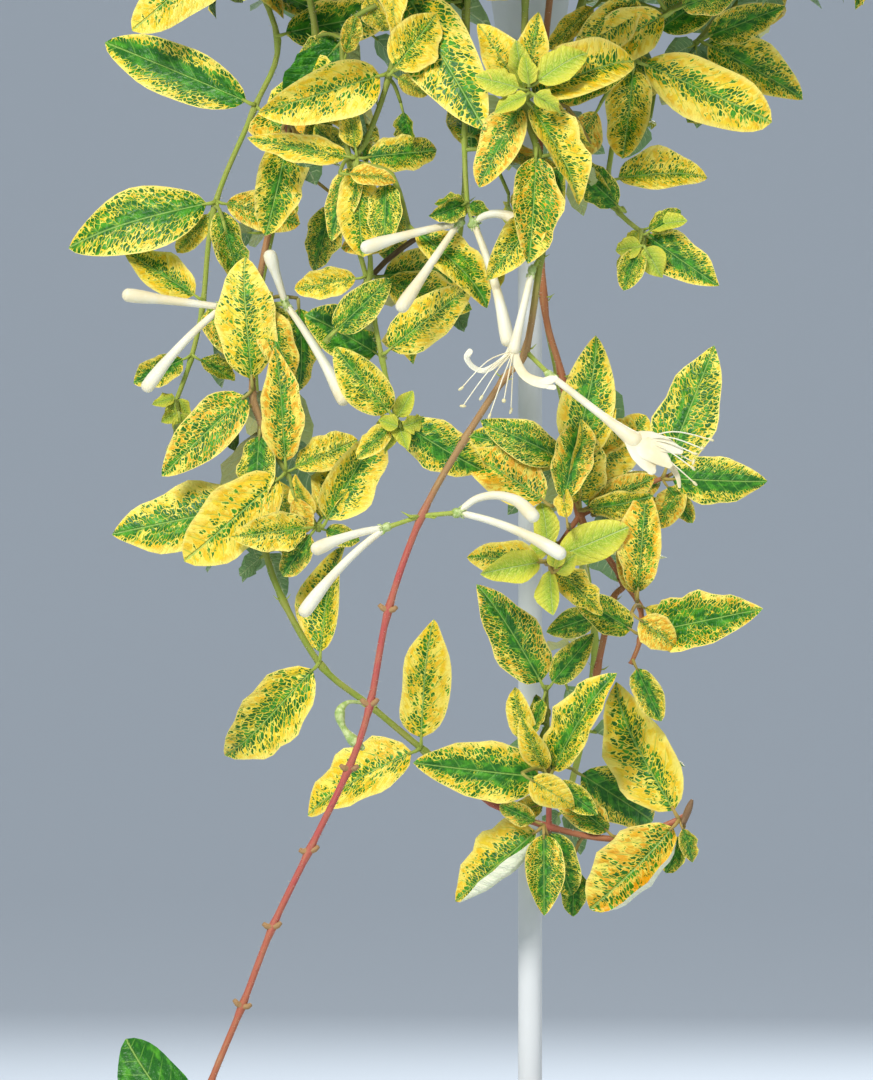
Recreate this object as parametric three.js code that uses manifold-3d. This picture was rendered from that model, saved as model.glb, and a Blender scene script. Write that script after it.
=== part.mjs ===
// A potted gold-net honeysuckle on a slim stand. Its shoots arch over the rim of the pot and hang.
// Millimetres, +Z up, the front of the plant towards -Y. The origin is the centre of the stand's foot.
import * as THREE from 'three';
import Module from 'manifold-3d';

const wasm = await Module();
wasm.setup();

// Stand and saucer
const BASE_RADIUS = 105;
const BASE_THICKNESS = 7;
const BOSS_RADIUS = 13;
const BOSS_TOP = 22;
const POST_RADIUS = 4;
const SOCKET_DEPTH = 15;
const PLATE_TOP = 448;
const PLATE_THICKNESS = 3;
const PLATE_RADIUS = 56;
const HUB_HEIGHT = 28;
const SAUCER_RADIUS = 66;
const SAUCER_FLOOR = 2;
const SAUCER_HEIGHT = 11;
const SEAT_GAP = 0.3;

// Pot, compost and trunk
const POT_HEIGHT = 110;
const POT_FOOT_RADIUS = 52;
const POT_RIM_RADIUS = 71;
const POT_WALL = 2.2;
const RIM_HEIGHT = 13;
const COMPOST_BELOW_RIM = 11;
const TRUNK_HEIGHT = 32;
const TRUNK_FLARE = 13;
const TRUNK_RADIUS = 8;
const TRUNK_LEAN = 3;

// Boughs, which all leave the trunk's head and end just past the rim
const BOUGH_REACH = 80;
const BOUGH_TIP_RISE = 24;
const BOUGH_TIERS = [12, 22];
const BOUGH_ROOT_GAP = 0.6;
const BOUGH_RADIUS = 2.2;
const BOUGH_TIP_RADIUS = 1.7;
const BOUGH_STEPS = 6;
const STEM_GAP = 0.9;
const TWIG_RADIUS = 1.4;
const SIDE_TWIG_RADIUS = 1.2;
const START_RUN = 9;
const WIDE_GAP = 26;
const CROWN_TWIGS = 7;

// Leaves
const BIG_LEAF = 33;
const LEAF_WIDTH = [0.45, 0.55];
const LEAF_THICKNESS = 0.8;
const PETIOLE = 3.5;
const STALK = 0.4;
const NODE_STEP = 1.8;
const CLEAR = 1.9;
const SAMPLE_STEP = 4;
const FRAME_TOP = 440;

const POT_FOOT = PLATE_TOP + SEAT_GAP + SAUCER_FLOOR + SEAT_GAP;
const POT_TOP = POT_FOOT + POT_HEIGHT;
const COMPOST_TOP = POT_TOP - COMPOST_BELOW_RIM;
const TRUNK_FOOT = COMPOST_TOP + SEAT_GAP;
const TRUNK_TOP = TRUNK_FOOT + TRUNK_HEIGHT;

// One line for each mass of foliage: the way its bough points from above, in degrees from +X,
// the tier of the trunk that the bough leaves, and the depth of the mass at its first and last node.
const MASSES = [
  { name: 'left', bearing: 190, tier: 0, depth: [-14, -6] },
  { name: 'left_front', bearing: 212, tier: 1, depth: [-46, -27] },
  { name: 'front_left', bearing: 236, tier: 0, depth: [-68, -62] },
  { name: 'front', bearing: 256, tier: 1, depth: [-77, -74] },
  { name: 'long_shoot', bearing: 274, tier: 0, depth: [-88, -74] },
  { name: 'centre', bearing: 290, tier: 1, depth: [-72, -32] },
  { name: 'right_front', bearing: 318, tier: 0, depth: [-48, -56] },
  { name: 'right', bearing: 350, tier: 1, depth: [-14, -10] },
  { name: 'back_right', bearing: 25, tier: 0, depth: [34, 20] },
  { name: 'back', bearing: 65, tier: 1, depth: [72, 34] },
  { name: 'back_middle', bearing: 105, tier: 0, depth: [76, 62] },
  { name: 'back_left', bearing: 145, tier: 1, depth: [46, 26] },
];

// The nodes of each main shoot from the top down. A node is its place across and its height, and
// then the heading in degrees and the length of each leaf there, seen from the front.
const NODES = {
  left: [
    [-96, 458, 220, 47], [-84, 426, 13, 41], [-92, 403, 157, 57], [-105, 371, 192, 52, 347, 28, 285, 26],
    [-109, 338, 148, 32, 300, 23], [-113, 320, 207, 22, 329, 17], [-118, 306, 195, 9, 250, 10, 300, 8],
  ],
  left_front: [
    [-71, 426], [-76, 412], [-80, 396, 260, 37], [-85, 370], [-91, 338, 296, 28], [-92, 308, 95, 42, 222, 41],
    [-89, 296, 265, 28], [-89, 270, 190, 51], [-88, 257], [-82, 240], [-69, 218, 85, 40, 227, 47],
    [-53, 205], [-35, 190, 88, 43, 205, 45], [-13, 173], [6, 165, 293, 26, 221, 39, 156, 16, 270, 30],
    [30, 161, 140, 29], [51, 168, 121, 50, 229, 42, 290, 15],
  ],
  front_left: [
    [-42, 440, 299, 54, 265, 20], [-47, 412, 198, 45, 20, 20, 330, 15], [-54, 392],
    [-58, 384, 170, 37, 100, 19, 147, 20, 272, 33, 250, 28, 7, 28], [-58, 362], [-54, 345, 190, 24],
    [-49, 319, 38, 38], [-44, 298, 132, 30, 225, 18, 327, 34, 60, 11, 250, 12, 200, 9, 290, 11],
  ],
  front: [[-21, 440, 185, 18, 350, 16], [-22, 392], [-21, 369, 182, 11, 202, 13, 330, 9]],
  long_shoot: [
    [-2, 440, 45, 22], [-2, 403, 24, 39, 241, 33, 303, 38, 122, 28, 82, 27, 37, 27, 157, 15, 100, 18, 323, 27],
    [2, 387, 267, 38], [5, 368, 232, 30], [3, 353], [-2, 322], [-9, 313], [-22, 293], [-36, 268], [-47, 237],
    [-53, 206], [-60, 185], [-73, 158], [-85, 133], [-95, 107], [-106, 80], [-111, 61, 126, 41, 330, 38],
    [-112, 48, 235, 13, 310, 12],
  ],
  centre: [
    [8, 452], [3, 400], [4, 340], [10, 314], [14, 283, 78, 41, 162, 37, 152, 32, 55, 23, 37, 26],
    [16, 268, 85, 29, 24, 26, 110, 16, 8, 24], [30, 247], [27, 240], [22, 217], [20, 203, 240, 16],
  ],
  right_front: [
    [66, 446], [45, 434, 210, 40, 18, 25], [33, 417, 336, 50, 264, 33], [25, 377, 8, 33],
    [29, 368, 132, 20], [37, 361, 255, 18, 324, 32, 15, 15, 230, 7, 300, 12],
  ],
  right: [[78, 456], [55, 425, 332, 40, 20, 30]],
  back_right: [[76, 450], [60, 430], [42, 420]],
  back: [[20, 450], [7, 402], [4, 366], [5, 340], [10, 314], [15, 287], [18, 258], [22, 226], [18, 195], [12, 170]],
  back_middle: [[-22, 450], [-22, 410], [-22, 374], [-27, 340]],
  back_left: [[-72, 450], [-76, 412], [-84, 374], [-91, 338], [-91, 305], [-82, 281], [-88, 256]],
};

// Side shoots: the mass, the node of its main shoot that each leaves, its change of depth, its nodes.
const SIDE_SHOOTS = [
  ['left_front', 5, -5, [[-87, 293], [-80, 281, 94, 40, 222, 44, 25, 26],
    [-70, 263, 117, 18, 64, 29, 188, 27, 235, 20, 340, 15, 50, 16]]],
  ['left_front', 14, -3, [[6, 183, 174, 45, 64, 38, 116, 21, 323, 20], [5, 212, 120, 40, 51, 24, 250, 15]]],
  ['front_left', 0, 4, [[-60, 430], [-62, 415, 75, 16], [-60, 385], [-53, 347], [-68, 325, 43, 28]]],
  ['front_left', 3, -4, [[-46, 380, 268, 26], [-40, 362, 322, 36]]],
  ['centre', 5, 5, [[30, 275], [45, 281, 69, 47, 358, 34, 305, 18]]],
  ['centre', 5, -9, [[9, 258], [5, 252, 177, 27, 23, 28, 190, 23, 273, 18, 315, 25, 95, 19]]],
  ['centre', 6, 2, [[36, 238, 86, 36, 325, 19, 100, 22], [36, 227, 149, 27, 13, 41], [33, 219, 294, 23]]],
];

// Blossom: the mass, the node, where each stalk ends, and its tubes' headings, lengths and bends.
const BLOOMS = [
  ['left_front', 4, [-102, 337], [[173, 32, 0], [221, 37, 12]]],
  ['left_front', 4, [-81, 338], [[108, 17, 0], [305, 38, -8]]],
  ['front', 2, [-24, 364], [[192, 32, 6], [236, 34, 0]]],
  ['front', 2, [-19, 364], [[34, 17, -50], [291, 36, -10]]],
  ['long_shoot', 8, [-48, 264], [[190, 24, 14], [219, 39, 14]]],
  ['long_shoot', 8, [-24, 269], [[38, 29, -58], [346, 37, -16]]],
];
const OPEN_FLOWERS = [['long_shoot', 4, [0, 348], 257, 27], ['long_shoot', 5, [6, 314], 322, 36]];

const vec = (x, y, z) => new THREE.Vector3(x, y, z);
const radians = THREE.MathUtils.degToRad;
const UP = vec(0, 0, 1);
const FRONT = vec(0, -1, 0);

// A small generator that gives the same numbers for the same seed
function dice(seed) {
  let state = seed;
  return (low, high) => {
    state = (state * 1664525 + 1013904223) % 4294967296;
    return low + (high - low) * state / 4294967296;
  };
}

// Polar place round the trunk's axis
function around(bearing, radius, height) {
  const angle = radians(bearing);
  return vec(radius * Math.cos(angle), radius * Math.sin(angle), height);
}

// A heading in the plane of the front view, leaning out of it
function heading(degrees, lean) {
  const flat = Math.cos(radians(lean));
  const angle = radians(degrees);
  return vec(Math.cos(angle) * flat, Math.sin(radians(lean)), Math.sin(angle) * flat);
}

// A smooth curve through the points, with a number of steps between neighbours
function smooth(points, steps) {
  const curve = [];
  for (let i = 0; i + 1 < points.length; i++) {
    const before = points[Math.max(i - 1, 0)];
    const after = points[Math.min(i + 2, points.length - 1)];
    for (let step = 0; step < steps; step++) {
      const t = step / steps;
      const weights = [-t + 2 * t * t - t * t * t, 2 - 5 * t * t + 3 * t * t * t,
        t + 4 * t * t - 3 * t * t * t, -t * t + t * t * t];
      const point = vec(0, 0, 0);
      [before, points[i], points[i + 1], after].forEach((p, k) => point.addScaledVector(p, weights[k] / 2));
      curve.push(point);
    }
  }
  curve.push(points.at(-1).clone());
  return curve;
}

// A closed skin over rings of points, ended by a point or a flat cap, with its faces outwards
function loft(rings, tip) {
  const count = rings[0].length;
  const points = rings.flat();
  const faces = [];
  for (let ring = 0; ring + 1 < rings.length; ring++) {
    for (let i = 0; i < count; i++) {
      const a = ring * count + i;
      const b = ring * count + (i + 1) % count;
      faces.push(a, b, b + count, a, b + count, a + count);
    }
  }
  const last = (rings.length - 1) * count;
  for (let i = 1; i + 1 < count; i++) {
    faces.push(0, i + 1, i);
    if (!tip) faces.push(last, last + i, last + i + 1);
  }
  if (tip) {
    points.push(tip);
    for (let i = 0; i < count; i++) faces.push(last + i, last + (i + 1) % count, points.length - 1);
  }
  return outward(points, faces);
}

// A geometry from points and faces, turned inside out where its volume is negative
function outward(points, faces) {
  let volume = 0;
  for (let i = 0; i < faces.length; i += 3) {
    const [a, b, c] = [0, 1, 2].map((k) => points[faces[i + k]]);
    volume += a.clone().cross(b).dot(c);
  }
  const geometry = new THREE.BufferGeometry().setFromPoints(points);
  geometry.setIndex(volume < 0 ? faces.reverse() : faces);
  return geometry;
}

// A round piece from its profile of radius and height pairs
function turned(profile, segments) {
  const lathe = new THREE.LatheGeometry(profile.map(([r, z]) => new THREE.Vector2(r, z)), segments);
  return lathe.rotateX(Math.PI / 2);
}

// Rings of a tapering limb along a curve
function limbRings(curve, startRadius, endRadius, sides) {
  let side = vec(1, 0, 0);
  return curve.map((point, i) => {
    const ahead = curve[Math.min(i + 1, curve.length - 1)];
    const behind = curve[Math.max(i - 1, 0)];
    const along = ahead.clone().sub(behind).normalize();
    side = side.clone().addScaledVector(along, -side.dot(along));
    if (side.length() < 0.1) side = vec(0, 1, 0).addScaledVector(along, -along.y);
    side.normalize();
    const other = along.clone().cross(side);
    const radius = THREE.MathUtils.lerp(startRadius, endRadius, i / (curve.length - 1));
    return Array.from({ length: sides }, (_, k) => {
      const angle = 2 * Math.PI * k / sides;
      return point.clone().addScaledVector(side, radius * Math.cos(angle))
        .addScaledVector(other, radius * Math.sin(angle));
    });
  });
}

// The stand, the saucer, the pot and the compost, which sit on each other with a small gap
const postFoot = BOSS_TOP - SOCKET_DEPTH + SEAT_GAP;
const hubFoot = PLATE_TOP - HUB_HEIGHT;
const socket = POST_RADIUS + SEAT_GAP;
const plateUnder = PLATE_TOP - PLATE_THICKNESS;
const postTop = hubFoot + SOCKET_DEPTH - SEAT_GAP;

const baseProfile = [
  [0, 0], [BASE_RADIUS - 1, 0], [BASE_RADIUS, 1], [BASE_RADIUS, BASE_THICKNESS - 3],
  [BASE_RADIUS - 3, BASE_THICKNESS - 1], [BOSS_RADIUS + 8, BASE_THICKNESS], [BOSS_RADIUS + 1, BASE_THICKNESS + 4],
  [BOSS_RADIUS - 3, BOSS_TOP], [socket, BOSS_TOP], [socket, postFoot - SEAT_GAP], [0, postFoot - SEAT_GAP],
];
const postProfile = [[0, postFoot], [POST_RADIUS, postFoot], [POST_RADIUS, postTop], [0, postTop]];
const headProfile = [
  [0, postTop + SEAT_GAP], [socket, postTop + SEAT_GAP], [socket, hubFoot], [BOSS_RADIUS - 3, hubFoot],
  [BOSS_RADIUS, plateUnder - 5], [BOSS_RADIUS + 8, plateUnder], [PLATE_RADIUS, plateUnder],
  [PLATE_RADIUS, PLATE_TOP], [0, PLATE_TOP],
];
const saucerFoot = PLATE_TOP + SEAT_GAP;
const saucerProfile = [
  [0, saucerFoot], [POT_FOOT_RADIUS + 4, saucerFoot], [SAUCER_RADIUS - 1, saucerFoot + SAUCER_HEIGHT - 1],
  [SAUCER_RADIUS, saucerFoot + SAUCER_HEIGHT], [SAUCER_RADIUS - 2, saucerFoot + SAUCER_HEIGHT],
  [POT_FOOT_RADIUS + 3, saucerFoot + SAUCER_FLOOR], [0, saucerFoot + SAUCER_FLOOR],
];
const wallTopRadius = POT_RIM_RADIUS - 3.5;
const potProfile = [
  [0, POT_FOOT], [POT_FOOT_RADIUS - 1, POT_FOOT], [POT_FOOT_RADIUS, POT_FOOT + 1],
  [wallTopRadius, POT_TOP - RIM_HEIGHT], [POT_RIM_RADIUS - 1, POT_TOP - RIM_HEIGHT],
  [POT_RIM_RADIUS, POT_TOP - 1], [POT_RIM_RADIUS - 1, POT_TOP], [POT_RIM_RADIUS - POT_WALL, POT_TOP - 1],
  [wallTopRadius - POT_WALL, POT_TOP - RIM_HEIGHT], [POT_FOOT_RADIUS - POT_WALL, POT_FOOT + POT_WALL],
  [0, POT_FOOT + POT_WALL],
];

// The pot's inner radius at a height, for the compost to fill it
function insideRadius(height) {
  const low = POT_FOOT + POT_WALL;
  const high = POT_TOP - RIM_HEIGHT;
  const share = (height - low) / (high - low);
  const step = wallTopRadius - POT_FOOT_RADIUS;
  return POT_FOOT_RADIUS - POT_WALL + step * share - SEAT_GAP;
}
const compostEdge = POT_TOP - RIM_HEIGHT - 1;
const compostProfile = [
  [0, POT_FOOT + POT_WALL + SEAT_GAP], [insideRadius(POT_FOOT + POT_WALL) - 0.1, POT_FOOT + POT_WALL + SEAT_GAP],
  [insideRadius(compostEdge), compostEdge], [24, COMPOST_TOP], [0, COMPOST_TOP],
];

// How far the pot and the stand reach from the axis at a height
function furnitureRadius(height) {
  if (height < BASE_THICKNESS + 4) return BASE_RADIUS;
  if (height < hubFoot - CLEAR) return POST_RADIUS;
  if (height < plateUnder - CLEAR) return BOSS_RADIUS + 8;
  if (height < saucerFoot + SAUCER_HEIGHT) return SAUCER_RADIUS;
  if (height < POT_TOP) return POT_RIM_RADIUS;
  return height < TRUNK_TOP ? TRUNK_FLARE : 0;
}

// The trunk leans a little as it rises from its flare
function trunkCentre(rise) {
  return vec(TRUNK_LEAN * rise / TRUNK_HEIGHT, 0, TRUNK_FOOT + rise);
}
function trunkRadius(rise) {
  return TRUNK_RADIUS + (TRUNK_FLARE - TRUNK_RADIUS) * Math.exp(-rise / 5) - rise / 40;
}
function trunkGeometry() {
  const rises = [0, 3, 7, 13, TRUNK_HEIGHT - 4];
  const rings = rises.map((rise) => limbRings(
    [trunkCentre(rise), trunkCentre(rise).add(UP)], trunkRadius(rise), trunkRadius(rise), 12)[0]);
  rings.push(limbRings([trunkCentre(TRUNK_HEIGHT), trunkCentre(TRUNK_HEIGHT + 1)], 5, 5, 12)[0]);
  return loft(rings);
}

// Each bough leaves the trunk level, rises over the rim and turns down at its tip
function boughCurve(mass, steps) {
  const random = dice(mass.bearing);
  const rise = BOUGH_TIERS[mass.tier];
  const start = trunkCentre(rise).add(around(mass.bearing, trunkRadius(rise) + BOUGH_ROOT_GAP, 0));
  const tip = around(mass.bearing, BOUGH_REACH + random(-2, 3), TRUNK_FOOT + BOUGH_TIP_RISE + random(-5, 5));
  const first = start.clone().add(around(mass.bearing, 24, 3));
  const second = tip.clone().add(around(mass.bearing, -16, 15));
  return new THREE.CubicBezierCurve3(start, first, second, tip).getPoints(steps);
}

// Every stem as a chain of points with a radius, and every leaf, for the tests of clearance
const stems = [];
const leaves = [];

function addStem(mass, points, steps, radius, endRadius) {
  const stem = { mass, curve: smooth(points, steps), radius, endRadius };
  stems.push(stem);
  return stem;
}

// Half the width of a leaf at a share of its length
function halfWidth(leaf, share) {
  const blade = (share * leaf.length - PETIOLE) / (leaf.length - PETIOLE);
  if (blade <= 0 || blade >= 1) return 0;
  return leaf.width / 2 * Math.sin(Math.PI * blade ** 0.9) ** 0.75;
}

// A place on a leaf: a share of its length and a distance across it
function onLeaf(leaf, share, across) {
  return leaf.base.clone().addScaledVector(leaf.along, share * leaf.length)
    .addScaledVector(leaf.side, across).addScaledVector(leaf.normal, -leaf.droop * leaf.length * share * share);
}

// A leaf from its base, its direction and the way that its upper side looks
function makeLeaf(mass, base, along, face, length, width, droop) {
  const normal = face.clone().addScaledVector(along, -face.dot(along)).normalize();
  const side = normal.clone().cross(along);
  const leaf = { mass, base, along, normal, side, length, width, droop };
  leaf.samples = [];
  const rows = Math.ceil(length / SAMPLE_STEP);
  for (let row = 1; row <= rows; row++) {
    const half = halfWidth(leaf, row / rows);
    for (const part of half > 0 ? [-0.95, -0.48, 0, 0.48, 0.95] : [0]) {
      leaf.samples.push([row / rows, onLeaf(leaf, row / rows, part * half)]);
    }
  }
  leaf.middle = onLeaf(leaf, 0.5, 0);
  return leaf;
}

// Whether a point lies within a leaf's plate or too near to it
function inPlate(point, leaf) {
  const offset = point.clone().sub(leaf.base);
  const share = offset.dot(leaf.along) / leaf.length;
  if (share < 0 || share > 1 + CLEAR / leaf.length) return false;
  const height = offset.dot(leaf.normal) + leaf.droop * leaf.length * share * share;
  if (Math.abs(height) > CLEAR) return false;
  return Math.abs(offset.dot(leaf.side)) < halfWidth(leaf, Math.min(share, 0.97)) + CLEAR;
}

// The distance from a point to a chain of points
function distanceToCurve(point, curve) {
  let nearest = Infinity;
  for (let i = 0; i + 1 < curve.length; i++) {
    const span = curve[i + 1].clone().sub(curve[i]);
    const offset = point.clone().sub(curve[i]);
    const share = THREE.MathUtils.clamp(offset.dot(span) / span.lengthSq(), 0, 1);
    nearest = Math.min(nearest, offset.addScaledVector(span, -share).length());
  }
  return nearest;
}

// Whether a leaf would touch the pot, a limb or another leaf. Near its own node it may.
function touches(leaf) {
  for (const [, point] of leaf.samples) {
    if (Math.hypot(point.x, point.y) < furnitureRadius(point.z) + CLEAR) return true;
  }
  for (const stem of stems) {
    const own = stem.mass === leaf.mass;
    if (distanceToCurve(leaf.middle, stem.curve) > leaf.length) continue;
    for (const [share, point] of leaf.samples) {
      if (own && share * leaf.length < 14) continue;
      if (distanceToCurve(point, stem.curve) < stem.radius + CLEAR - 0.6) return true;
    }
  }
  for (const other of leaves) {
    if (leaf.middle.distanceTo(other.middle) > (leaf.length + other.length) * 0.6) continue;
    const own = other.mass === leaf.mass;
    for (const [share, point] of leaf.samples) {
      if (own && share < 0.4) continue;
      if (inPlate(point, other)) return true;
    }
    for (const [share, point] of other.samples) {
      if (own && share < 0.4) continue;
      if (inPlate(point, leaf)) return true;
    }
  }
  return false;
}

// Whether the leaves placed first hide this one from the front, below the top of the front view
function hidden(leaf, shown) {
  let seen = 0;
  for (const [, point] of leaf.samples) {
    const covered = point.z > FRAME_TOP || shown.some((front) => {
      const determinant = front.along.x * front.side.z - front.along.z * front.side.x;
      if (Math.abs(determinant) < 0.2) return false;
      const x = point.x - front.base.x;
      const z = point.z - front.base.z;
      const share = (x * front.side.z - z * front.side.x) / determinant / front.length;
      const across = (front.along.x * z - front.along.z * x) / determinant;
      const depth = front.base.y + front.along.y * share * front.length + front.side.y * across;
      return depth < point.y && share > 0 && share < 1 && Math.abs(across) < halfWidth(front, share);
    });
    if (!covered) seen++;
  }
  return seen / leaf.samples.length < 0.2;
}

// The first of some attitudes in which the leaf is clear, or nothing
function settle(attitudes) {
  for (const leaf of attitudes) {
    if (!touches(leaf)) {
      leaves.push(leaf);
      return leaf;
    }
  }
  return null;
}

// A place on a stem a little before one of its points, for the leaves of a node
function justAbove(points, i) {
  const back = points[Math.max(i - 1, 0)].clone().sub(points[i]);
  return points[i].clone().addScaledVector(back, NODE_STEP / back.length());
}

// A leaf that the front view shows: its heading is kept, and it leans until it is clear
function shownLeaf(mass, base, degrees, length, random) {
  const ratio = random(...LEAF_WIDTH);
  const first = random(-14, 14);
  const roll = radians(random(-14, 34)) * (Math.cos(radians(degrees)) < 0 ? 1 : -1);
  const droop = random(0.02, 0.1);
  const attitudes = [first, 12, -12, 22, -22, 32, -32, 42, -42, 52, -52].map((lean) => {
    const along = heading(degrees, lean);
    const full = length / Math.cos(radians(lean));
    const face = FRONT.clone().applyAxisAngle(along, roll);
    return makeLeaf(mass, base, along, face, full, length * ratio, droop);
  });
  return settle(attitudes);
}

// A leaf by the rule alone: it stands off its stem, turned round it, lifts and looks outwards
function ruledLeaf(mass, base, stemWay, bearing, random, accept) {
  const length = random(32, 46);
  const ratio = random(...LEAF_WIDTH);
  const spread = random(46, 72);
  const hanging = stemWay.z < -0.5;
  const lift = hanging && base.z > POT_TOP ? random(0.7, 1.4) : random(-0.1, 0.25) * (hanging ? 1 : 2);
  const droop = random(0.05, 0.14);
  const outside = vec(base.x, base.y, 0).normalize();
  const start = (stemWay.z ** 2 > 0.5 ? outside : UP).clone();
  start.addScaledVector(stemWay, -start.dot(stemWay)).normalize();
  const attitudes = [0, 28, -28, 56, -56, 84, -84].map((turn) => {
    const across = start.clone().applyAxisAngle(stemWay, radians(bearing + turn));
    const along = stemWay.clone().multiplyScalar(Math.cos(radians(spread)))
      .addScaledVector(across, Math.sin(radians(spread))).addScaledVector(UP, lift).normalize();
    const face = UP.clone().addScaledVector(outside, 0.8);
    return makeLeaf(mass, base, along, face, length, length * ratio, droop);
  });
  return settle(attitudes.filter(accept));
}

// The main shoot of a mass: from its bough's tip it hangs clear of the pot to its first node
function mainShoot(mass) {
  const bough = boughCurve(mass, BOUGH_STEPS);
  const tip = bough.at(-1);
  const way = tip.clone().sub(bough.at(-2)).normalize();
  const start = tip.clone().addScaledVector(way, STEM_GAP);
  const nodes = NODES[mass.name];
  const depth = (i) => THREE.MathUtils.lerp(mass.depth[0], mass.depth[1], i / (nodes.length - 1));
  const below = nodes.map(([x, z], i) => vec(x, depth(i), z));
  const above = [0.24, 0.48, 0.74].map((share) => start.clone().lerp(below[0], share)
    .add(around(mass.bearing, 13 * Math.sin(Math.PI * share), 0)));
  const points = [start, start.clone().addScaledVector(way, START_RUN), ...above, ...below];
  const stem = addStem(mass.name, points, 2, TWIG_RADIUS, nodes.length > 8 ? 1.3 : 1);
  return { name: mass.name, points, stem, first: points.length - nodes.length, nodes };
}

function sideShoot([name, from, deeper, nodes], shoots) {
  const start = shoots[name].points[shoots[name].first + from];
  const below = nodes.map(([x, z], i) => vec(x, start.y + deeper * (i + 1) / nodes.length, z));
  const points = [start, ...below];
  const stem = addStem(name, points, 2, SIDE_TWIG_RADIUS, 0.9);
  return { name, points, stem, first: 1, nodes };
}

// Where two masses stand far apart, a twig of the first hangs half way between them
function fillingShoot(mass, next, shoots) {
  const gap = (next.bearing - mass.bearing + 360) % 360;
  if (gap < WIDE_GAP) return [];
  const start = shoots[mass.name].points[2];
  const places = [[0.5, 4, 4], [0.9, 9, -18], [1, 12, -46], [1, 10, -74], [1, 4, -100]];
  const points = places.map(([turn, out, drop]) => around(
    mass.bearing + turn * gap / 2, Math.hypot(start.x, start.y) + out, start.z + drop));
  const stem = addStem(mass.name, [start, ...points], 1, SIDE_TWIG_RADIUS, 0.9);
  return [{ name: mass.name, points: [start, ...points], stem, first: 6, nodes: [] }];
}

// A flower bud or tube on its stalk: a slender club that bends along its length
function tubeCurve(base, degrees, length, bend) {
  const points = [base.clone()];
  for (let step = 1; step <= 4; step++) {
    const turn = degrees + bend * (step - 1) / 3;
    points.push(points.at(-1).clone().addScaledVector(heading(turn, -14), length / 4));
  }
  return points;
}
function budGeometry(curve) {
  const radii = [1.1, 1.5, 1.7, 2.4, 1.6];
  const rings = limbRings(curve, 1, 1, 4).map((ring, i) => ring.map(
    (point) => curve[i].clone().lerp(point, radii[i])));
  return loft(rings);
}

// An open flower: its tube, a broad upper lip that curls back and a narrow lower lip
function flowerGeometries(curve) {
  const radii = [1, 1.2, 1.5, 2.1, 3];
  const rings = limbRings(curve, 1, 1, 5).map((ring, i) => ring.map(
    (point) => curve[i].clone().lerp(point, radii[i])));
  const mouth = curve.at(-1);
  const way = mouth.clone().sub(curve.at(-2)).normalize();
  const across = way.clone().cross(FRONT).normalize();
  const lip = (sign, reach, width) => {
    const middle = mouth.clone().addScaledVector(way, 5).addScaledVector(across, sign * 4);
    const end = mouth.clone().addScaledVector(way, 6).addScaledVector(across, sign * reach);
    const base = mouth.clone().addScaledVector(way, -3);
    const ring = (point, half) => [point.clone().addScaledVector(FRONT, half),
      point.clone().addScaledVector(FRONT, -half), point.clone().addScaledVector(way, 1)];
    return loft([ring(base, 1.2), ring(middle, width / 2), ring(end, width / 3)]);
  };
  return [loft(rings), lip(1, 13, 8), lip(-1, 12, 4)];
}

// A leaf's solid: a thin stalk from inside the twig, one or two broad rings and a pointed tip
function leafGeometry(leaf) {
  const ring = (share, half) => {
    const thickness = Math.max(LEAF_THICKNESS, leaf.length / 60);
    const below = onLeaf(leaf, share, 0).addScaledVector(leaf.normal, -thickness);
    return [onLeaf(leaf, share, half), onLeaf(leaf, share, -half), below];
  };
  const root = leaf.base.clone().addScaledVector(leaf.along, 0.1);
  const stalk = [leaf.side.clone(), leaf.side.clone().negate(), leaf.normal.clone().negate()]
    .map((way) => root.clone().addScaledVector(way, STALK));
  const tip = onLeaf(leaf, 1, 0);
  const shares = leaf.shown && leaf.length > BIG_LEAF ? [0.32, 0.7] : [0.46];
  return loft([stalk, ...shares.map((share) => ring(share, halfWidth(leaf, share) * 1.08))], tip);
}

// A closed geometry as a solid that can be joined
function asManifold(geometry) {
  const vertProperties = new Float32Array(geometry.attributes.position.array);
  const triVerts = new Uint32Array(geometry.index.array);
  return new wasm.Manifold(new wasm.Mesh({ numProp: 3, vertProperties, triVerts }));
}

// The joined solid as one body: its outermost skin, with sealed hollows filled and scraps dropped
function oneBody(solid) {
  const { vertProperties, triVerts } = solid.getMesh();
  const points = [];
  for (let i = 0; i < vertProperties.length; i += 3) points.push(vec(...vertProperties.slice(i, i + 3)));
  const owner = points.map((_, i) => i);
  const find = (i) => {
    while (owner[i] !== i) i = owner[i];
    return i;
  };
  for (let i = 0; i < triVerts.length; i += 3) {
    for (const k of [1, 2]) {
      const [a, b] = [find(triVerts[i]), find(triVerts[i + k])];
      owner[Math.max(a, b)] = Math.min(a, b);
    }
  }
  const shells = new Map();
  for (let i = 0; i < triVerts.length; i += 3) {
    const shell = find(triVerts[i]);
    if (!shells.has(shell)) shells.set(shell, []);
    shells.get(shell).push(...triVerts.slice(i, i + 3));
  }
  const largest = [...shells.values()].reduce((a, b) => (a.length > b.length ? a : b));
  const used = new Map();
  const kept = [];
  const faces = largest.map((i) => {
    if (!used.has(i)) {
      used.set(i, kept.length);
      kept.push(points[i]);
    }
    return used.get(i);
  });
  return outward(kept, faces);
}

function fuse(geometries) {
  return oneBody(geometries.map(asManifold).reduce((whole, piece) => whole.add(piece)));
}

// Colours, roughness and metalness
function finish(colour, roughness, metalness) {
  return new THREE.MeshStandardMaterial({ color: colour, roughness, metalness });
}
const standPaint = finish('#b9bab6', 0.42, 0.1);
const potPlastic = finish('#23302a', 0.6, 0);
const compost = finish('#33251a', 0.95, 0);
const bark = finish('#7d5a3c', 0.85, 0);
const netted = finish('#b9b83a', 0.45, 0);

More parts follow.
